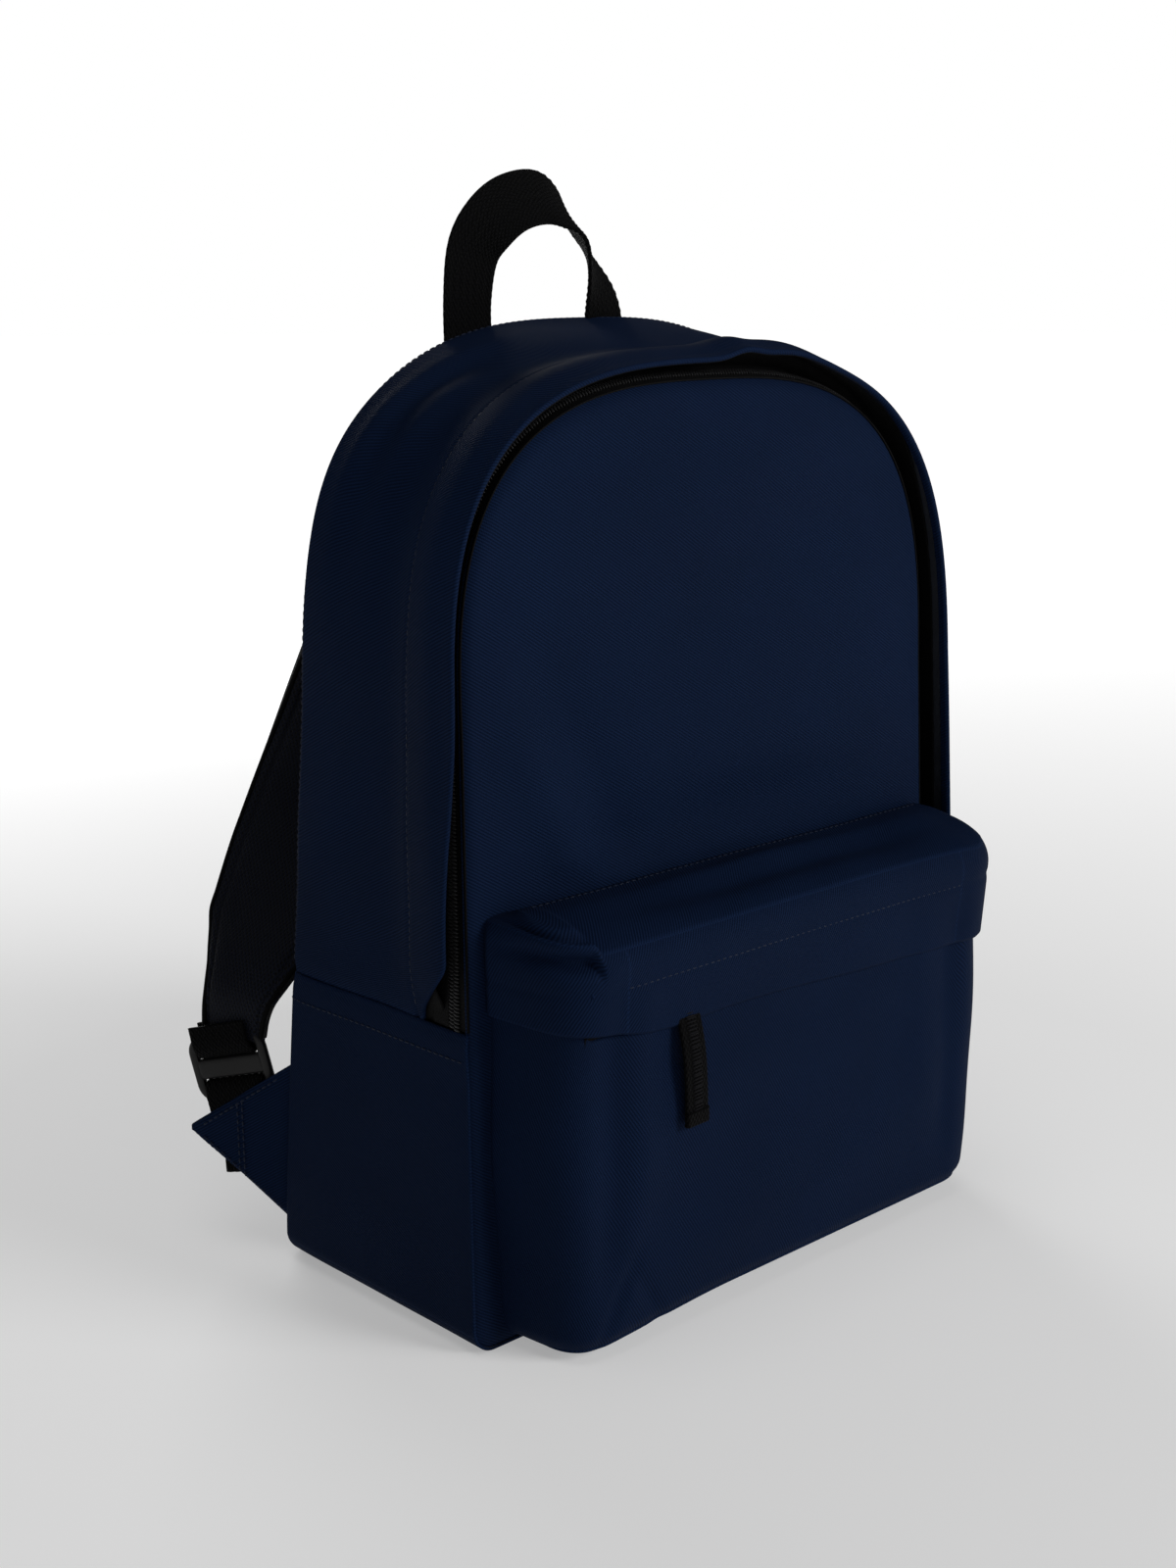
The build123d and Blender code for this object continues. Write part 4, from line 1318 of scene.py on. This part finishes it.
def strap_face(sign):
    """One padded face of the strap, the outer (1) or the inner one (-1)."""
    centres, across, normals, widths, run = (values[::3, None] for values in STRAP)
    place = np.linspace(-1, 1, 44)
    place = (np.sign(place) * np.abs(place) ** 0.85)[None]
    crown = strap_crown(place)
    points = centres + across * (widths / 2 * place)[..., None]
    height = STRAP_THICKNESS / 2 * crown * strap_taper(run) - 1.1 * hump(np.abs(place), STRAP_SEAM, 0.035)
    height = height + 0.45 * np.sin(run / 7.5) * crown * ramp(run, 60, 150) + 0.5 * ripple(points, 60, 51)
    return points + normals * (sign * height)[..., None], stacked(run, widths / 2 * place)


def padded_strap(label, side):
    cover, weave = strap_face(1.0)
    outer = cloth_piece(label + "_strap_cover_cloth", mirrored(cover, side), TWILL, weave,
                        flip=side < 0, thickness=STRAP_SKIN)
    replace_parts(outer, label + "_strap_cover", label + "_strap_foam")
    mesh, weave = strap_face(-1.0)
    inner = cloth_piece(label + "_strap_mesh_cloth", mirrored(mesh, side), MESH, weave,
                        flip=side > 0, thickness=STRAP_SKIN)
    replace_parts(inner, label + "_strap_mesh")
    pieces = [outer, inner]
    centres, across, normals, widths, run = STRAP
    facing = mirrored(normals, side)
    lift = normals * ((STRAP_THICKNESS / 2 * strap_crown(STRAP_SEAM) - 1.0) * strap_taper(run))[:, None]
    for number, edge in enumerate((-1, 1)):
        rim = centres + across * (edge * (widths / 2 - 0.6))[:, None]
        stations = list(zip(mirrored(rim, side)[::12], facing[::12]))
        pieces.append(band(f"{label}_strap_binding_{number}", stations, 5.2, 2.4, TAPE))
        seam = centres + across * (edge * widths / 2 * STRAP_SEAM)[:, None]
        row = stitches(f"{label}_strap_stitches_{number}", mirrored(seam + lift, side), facing, NAVY_THREAD)
        pieces.append(row)
    for piece in pieces:
        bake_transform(piece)


def strap_tab(label, side):
    """A square of cloth folded to a triangle and sewn into the side seam."""
    out = np.linspace(0, 1, 50)[:, None]
    low, high, reach = lerp(13.0, 50.3, out ** 0.97), lerp(91.0, 53.5, out), lerp(-6.0, 46.5, out)
    around = np.linspace(0, 1, 60)[None]
    front = around < 0.5
    height = np.where(front, around * 2, 2 - around * 2)
    thick = 2.4 * (1 - np.abs(2 * height - 1) ** 6) ** 0.5
    z = lerp(low, high, height)
    ribs = 0.16 * np.sin(reach * 2.6) * (thick > 1.0)
    pinch = 1 - 0.35 * hump(out, 1.0, 0.08)
    depth = np.where(front, -1.0, 1.0) * (thick * lerp(0.75, 1.0, out) + ribs) * pinch
    points = on_tab(*(values[..., None] for values in (reach, z, depth)))
    tab = capped(make_piece(label + "_tab_cloth", mirrored(points, side), grid_faces(*z.shape, side < 0),
                            TWILL, stacked(z, reach)))
    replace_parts(tab, label + "_strap_tab")
    pieces = [tab]
    t = np.linspace(0, 1, 40)[:, None]
    for name, first, last in TAB_STITCHES:
        reach, z = lerp(np.array(first), np.array(last), t).T[..., None]
        for face, away in (("front", -1.0), ("rear", 1.0)):
            line = mirrored(on_tab(reach, z, away * 2.5), side)
            facing = np.broadcast_to(mirrored(away * TAB_AWAY, side), line.shape)
            pieces.append(stitches(f"{label}_tab_{name}_{face}", line, facing, NAVY_THREAD))
    for piece in pieces:
        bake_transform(piece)


def strap_hardware(label, side):
    """Webbing from the tab through the ladder lock, its loose tail, and the loop to the strap."""
    def web_band(name, route, width=WEB_IN_LOCK, thickness=1.5):
        stations = [(mirrored(on_lock(*point), side), mirrored(LOCK_X, side)) for point in route]
        return band(label + name, stations, width, thickness, WEBBING, basket=WEB_RELIEF)

    body = label + "_strap"
    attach(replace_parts(web_band("_webbing_band", WEB_ROUTE), label + "_strap_webbing"), body)
    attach(web_band("_webbing_hem", HEM_ROUTE, WEB_IN_LOCK + 0.4, 2.9), body)
    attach(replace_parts(web_band("_loop_band", LOOP_ROUTE), label + "_lock_loop"), body)


def ladder_lock(label, side):
    """A moulded frame of two side bars and three cross bars, the lowest one lipped and ribbed."""
    half_width, half_height = LOCK_HALF
    line = []
    for number, (sx, sy) in enumerate(((1, 1), (-1, 1), (-1, -1), (1, -1))):
        for angle in number * math.pi / 2 + np.linspace(0, math.pi / 2, 8):
            line.append(on_lock(sx * (half_width - LOCK_CORNER) + LOCK_CORNER * math.cos(angle),
                                sy * (half_height - LOCK_CORNER) + LOCK_CORNER * math.sin(angle), LOCK_LEVEL))
    away = mirrored(TAB_AWAY, side)
    edge = rod(label + "_lock_frame", mirrored(np.array(line), side), 4.2, 3.4, ACETAL, away,
               closed=True)
    parts = [edge]
    x = np.linspace(-half_width + 1, half_width - 1, 24)[:, None]
    for name, y, width, rise in LOCK_BARS:
        bar = on_lock(x, y, LOCK_LEVEL + rise * np.cos(x / half_width * math.pi / 2))
        parts.append(rod(f"{label}_lock_{name}_bar", mirrored(bar, side), width, 3.2, ACETAL, away))
    places = []
    for place in np.arange(-11.0, 11.1, 2.2):
        for face in (-1.0, 1.0):
            origin = mirrored(on_lock(place, -12.6, LOCK_LEVEL + face * 1.55), side)
            places.append((origin, mirrored(LOCK_Y, side), mirrored(LOCK_X, side), away * face))
    parts.append(copies(label + "_lock_grip", *grain(*GRIP_SIZE), places, ACETAL, "buckle"))
    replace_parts(edge, label + "_ladder_lock")
    for part in parts:
        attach(part, label + "_strap")


for strap_label, strap_side in (("left", -1.0), ("right", 1.0)):
    padded_strap(strap_label, strap_side)
    strap_tab(strap_label, strap_side)
    strap_hardware(strap_label, strap_side)
    ladder_lock(strap_label, strap_side)


# ---------------------------------------------------------------- view

def stage_and_light():
    world = bpy.data.worlds.new("studio")
    world.use_nodes = True
    tree = world.node_tree
    back = tree.nodes["Background"]
    back.inputs[0].default_value = (1, 1, 1, 1)
    seen = add(tree, "ShaderNodeLightPath").outputs["Is Camera Ray"]
    tree.links.new(remap(tree, seen, 0.07, 1.0), back.inputs[1])
    bpy.context.scene.world = world

    bpy.ops.mesh.primitive_circle_add(vertices=128, radius=14, fill_type="NGON")
    floor = bpy.context.object
    floor.name = "floor"
    material, tree = new_material("pale_floor")
    mottle = soft_noise(tree, 3.0, 2.0)
    shade = remap(tree, mottle, 0.97, 1.0)
    finish_shader(tree, tint(tree, (0.62, 0.62, 0.62), shade), remap(tree, mottle, 0.7, 0.75), mottle, 0.0001,
                  Specular_IOR_Level=0.1)
    place = add(tree, "ShaderNodeTexCoord").outputs["Object"]
    far = add(tree, "ShaderNodeVectorMath", place, operation="LENGTH").outputs["Value"]
    glow = remap(tree, far, 0.34, 1.0, 0.35, 2.2)
    shader = tree.nodes["Principled BSDF"]
    shader.inputs["Emission Color"].default_value = (1, 1, 1, 1)
    tree.links.new(glow, shader.inputs["Emission Strength"])
    floor.data.materials.append(material)

    target = Vector((0, 0, 0.19))
    for name, place, size, power in (("key", (0.9, -1.9, 1.0), 1.0, 28),
                                     ("fill", (-1.2, -2.0, 0.8), 1.4, 3.0),
                                     ("top", (-0.4, 0.0, 2.2), 1.2, 6.5),
                                     ("rear", (0.6, 2.0, 1.0), 1.4, 20)):
        light = bpy.data.lights.new(name, "AREA")
        light.shape = "DISK"
        light.size = size
        light.energy = power
        lamp = bpy.data.objects.new(name, light)
        bpy.context.scene.collection.objects.link(lamp)
        lamp.location = place
        lamp.rotation_euler = (target - Vector(place)).to_track_quat("-Z", "Y").to_euler()

    scene = bpy.context.scene
    scene.view_settings.view_transform = "Standard"
    scene.view_settings.look = "None"


def photo_camera():
    place = Vector((-0.58866, -0.62704, 0.41416))
    target = Vector((-0.01230, 0.01038, 0.19780))
    camera = bpy.data.cameras.new("camera")
    camera.sensor_fit = "AUTO"
    camera.sensor_width = 36
    camera.lens = 46.59
    holder = bpy.data.objects.new("camera", camera)
    bpy.context.scene.collection.objects.link(holder)
    aim = (target - place).to_track_quat("-Z", "Y").to_matrix().to_4x4()
    holder.matrix_world = Matrix.Translation(place) @ aim @ Matrix.Rotation(math.radians(-0.19), 4, "Z")
    bpy.context.scene.camera = holder


stage_and_light()
photo_camera()
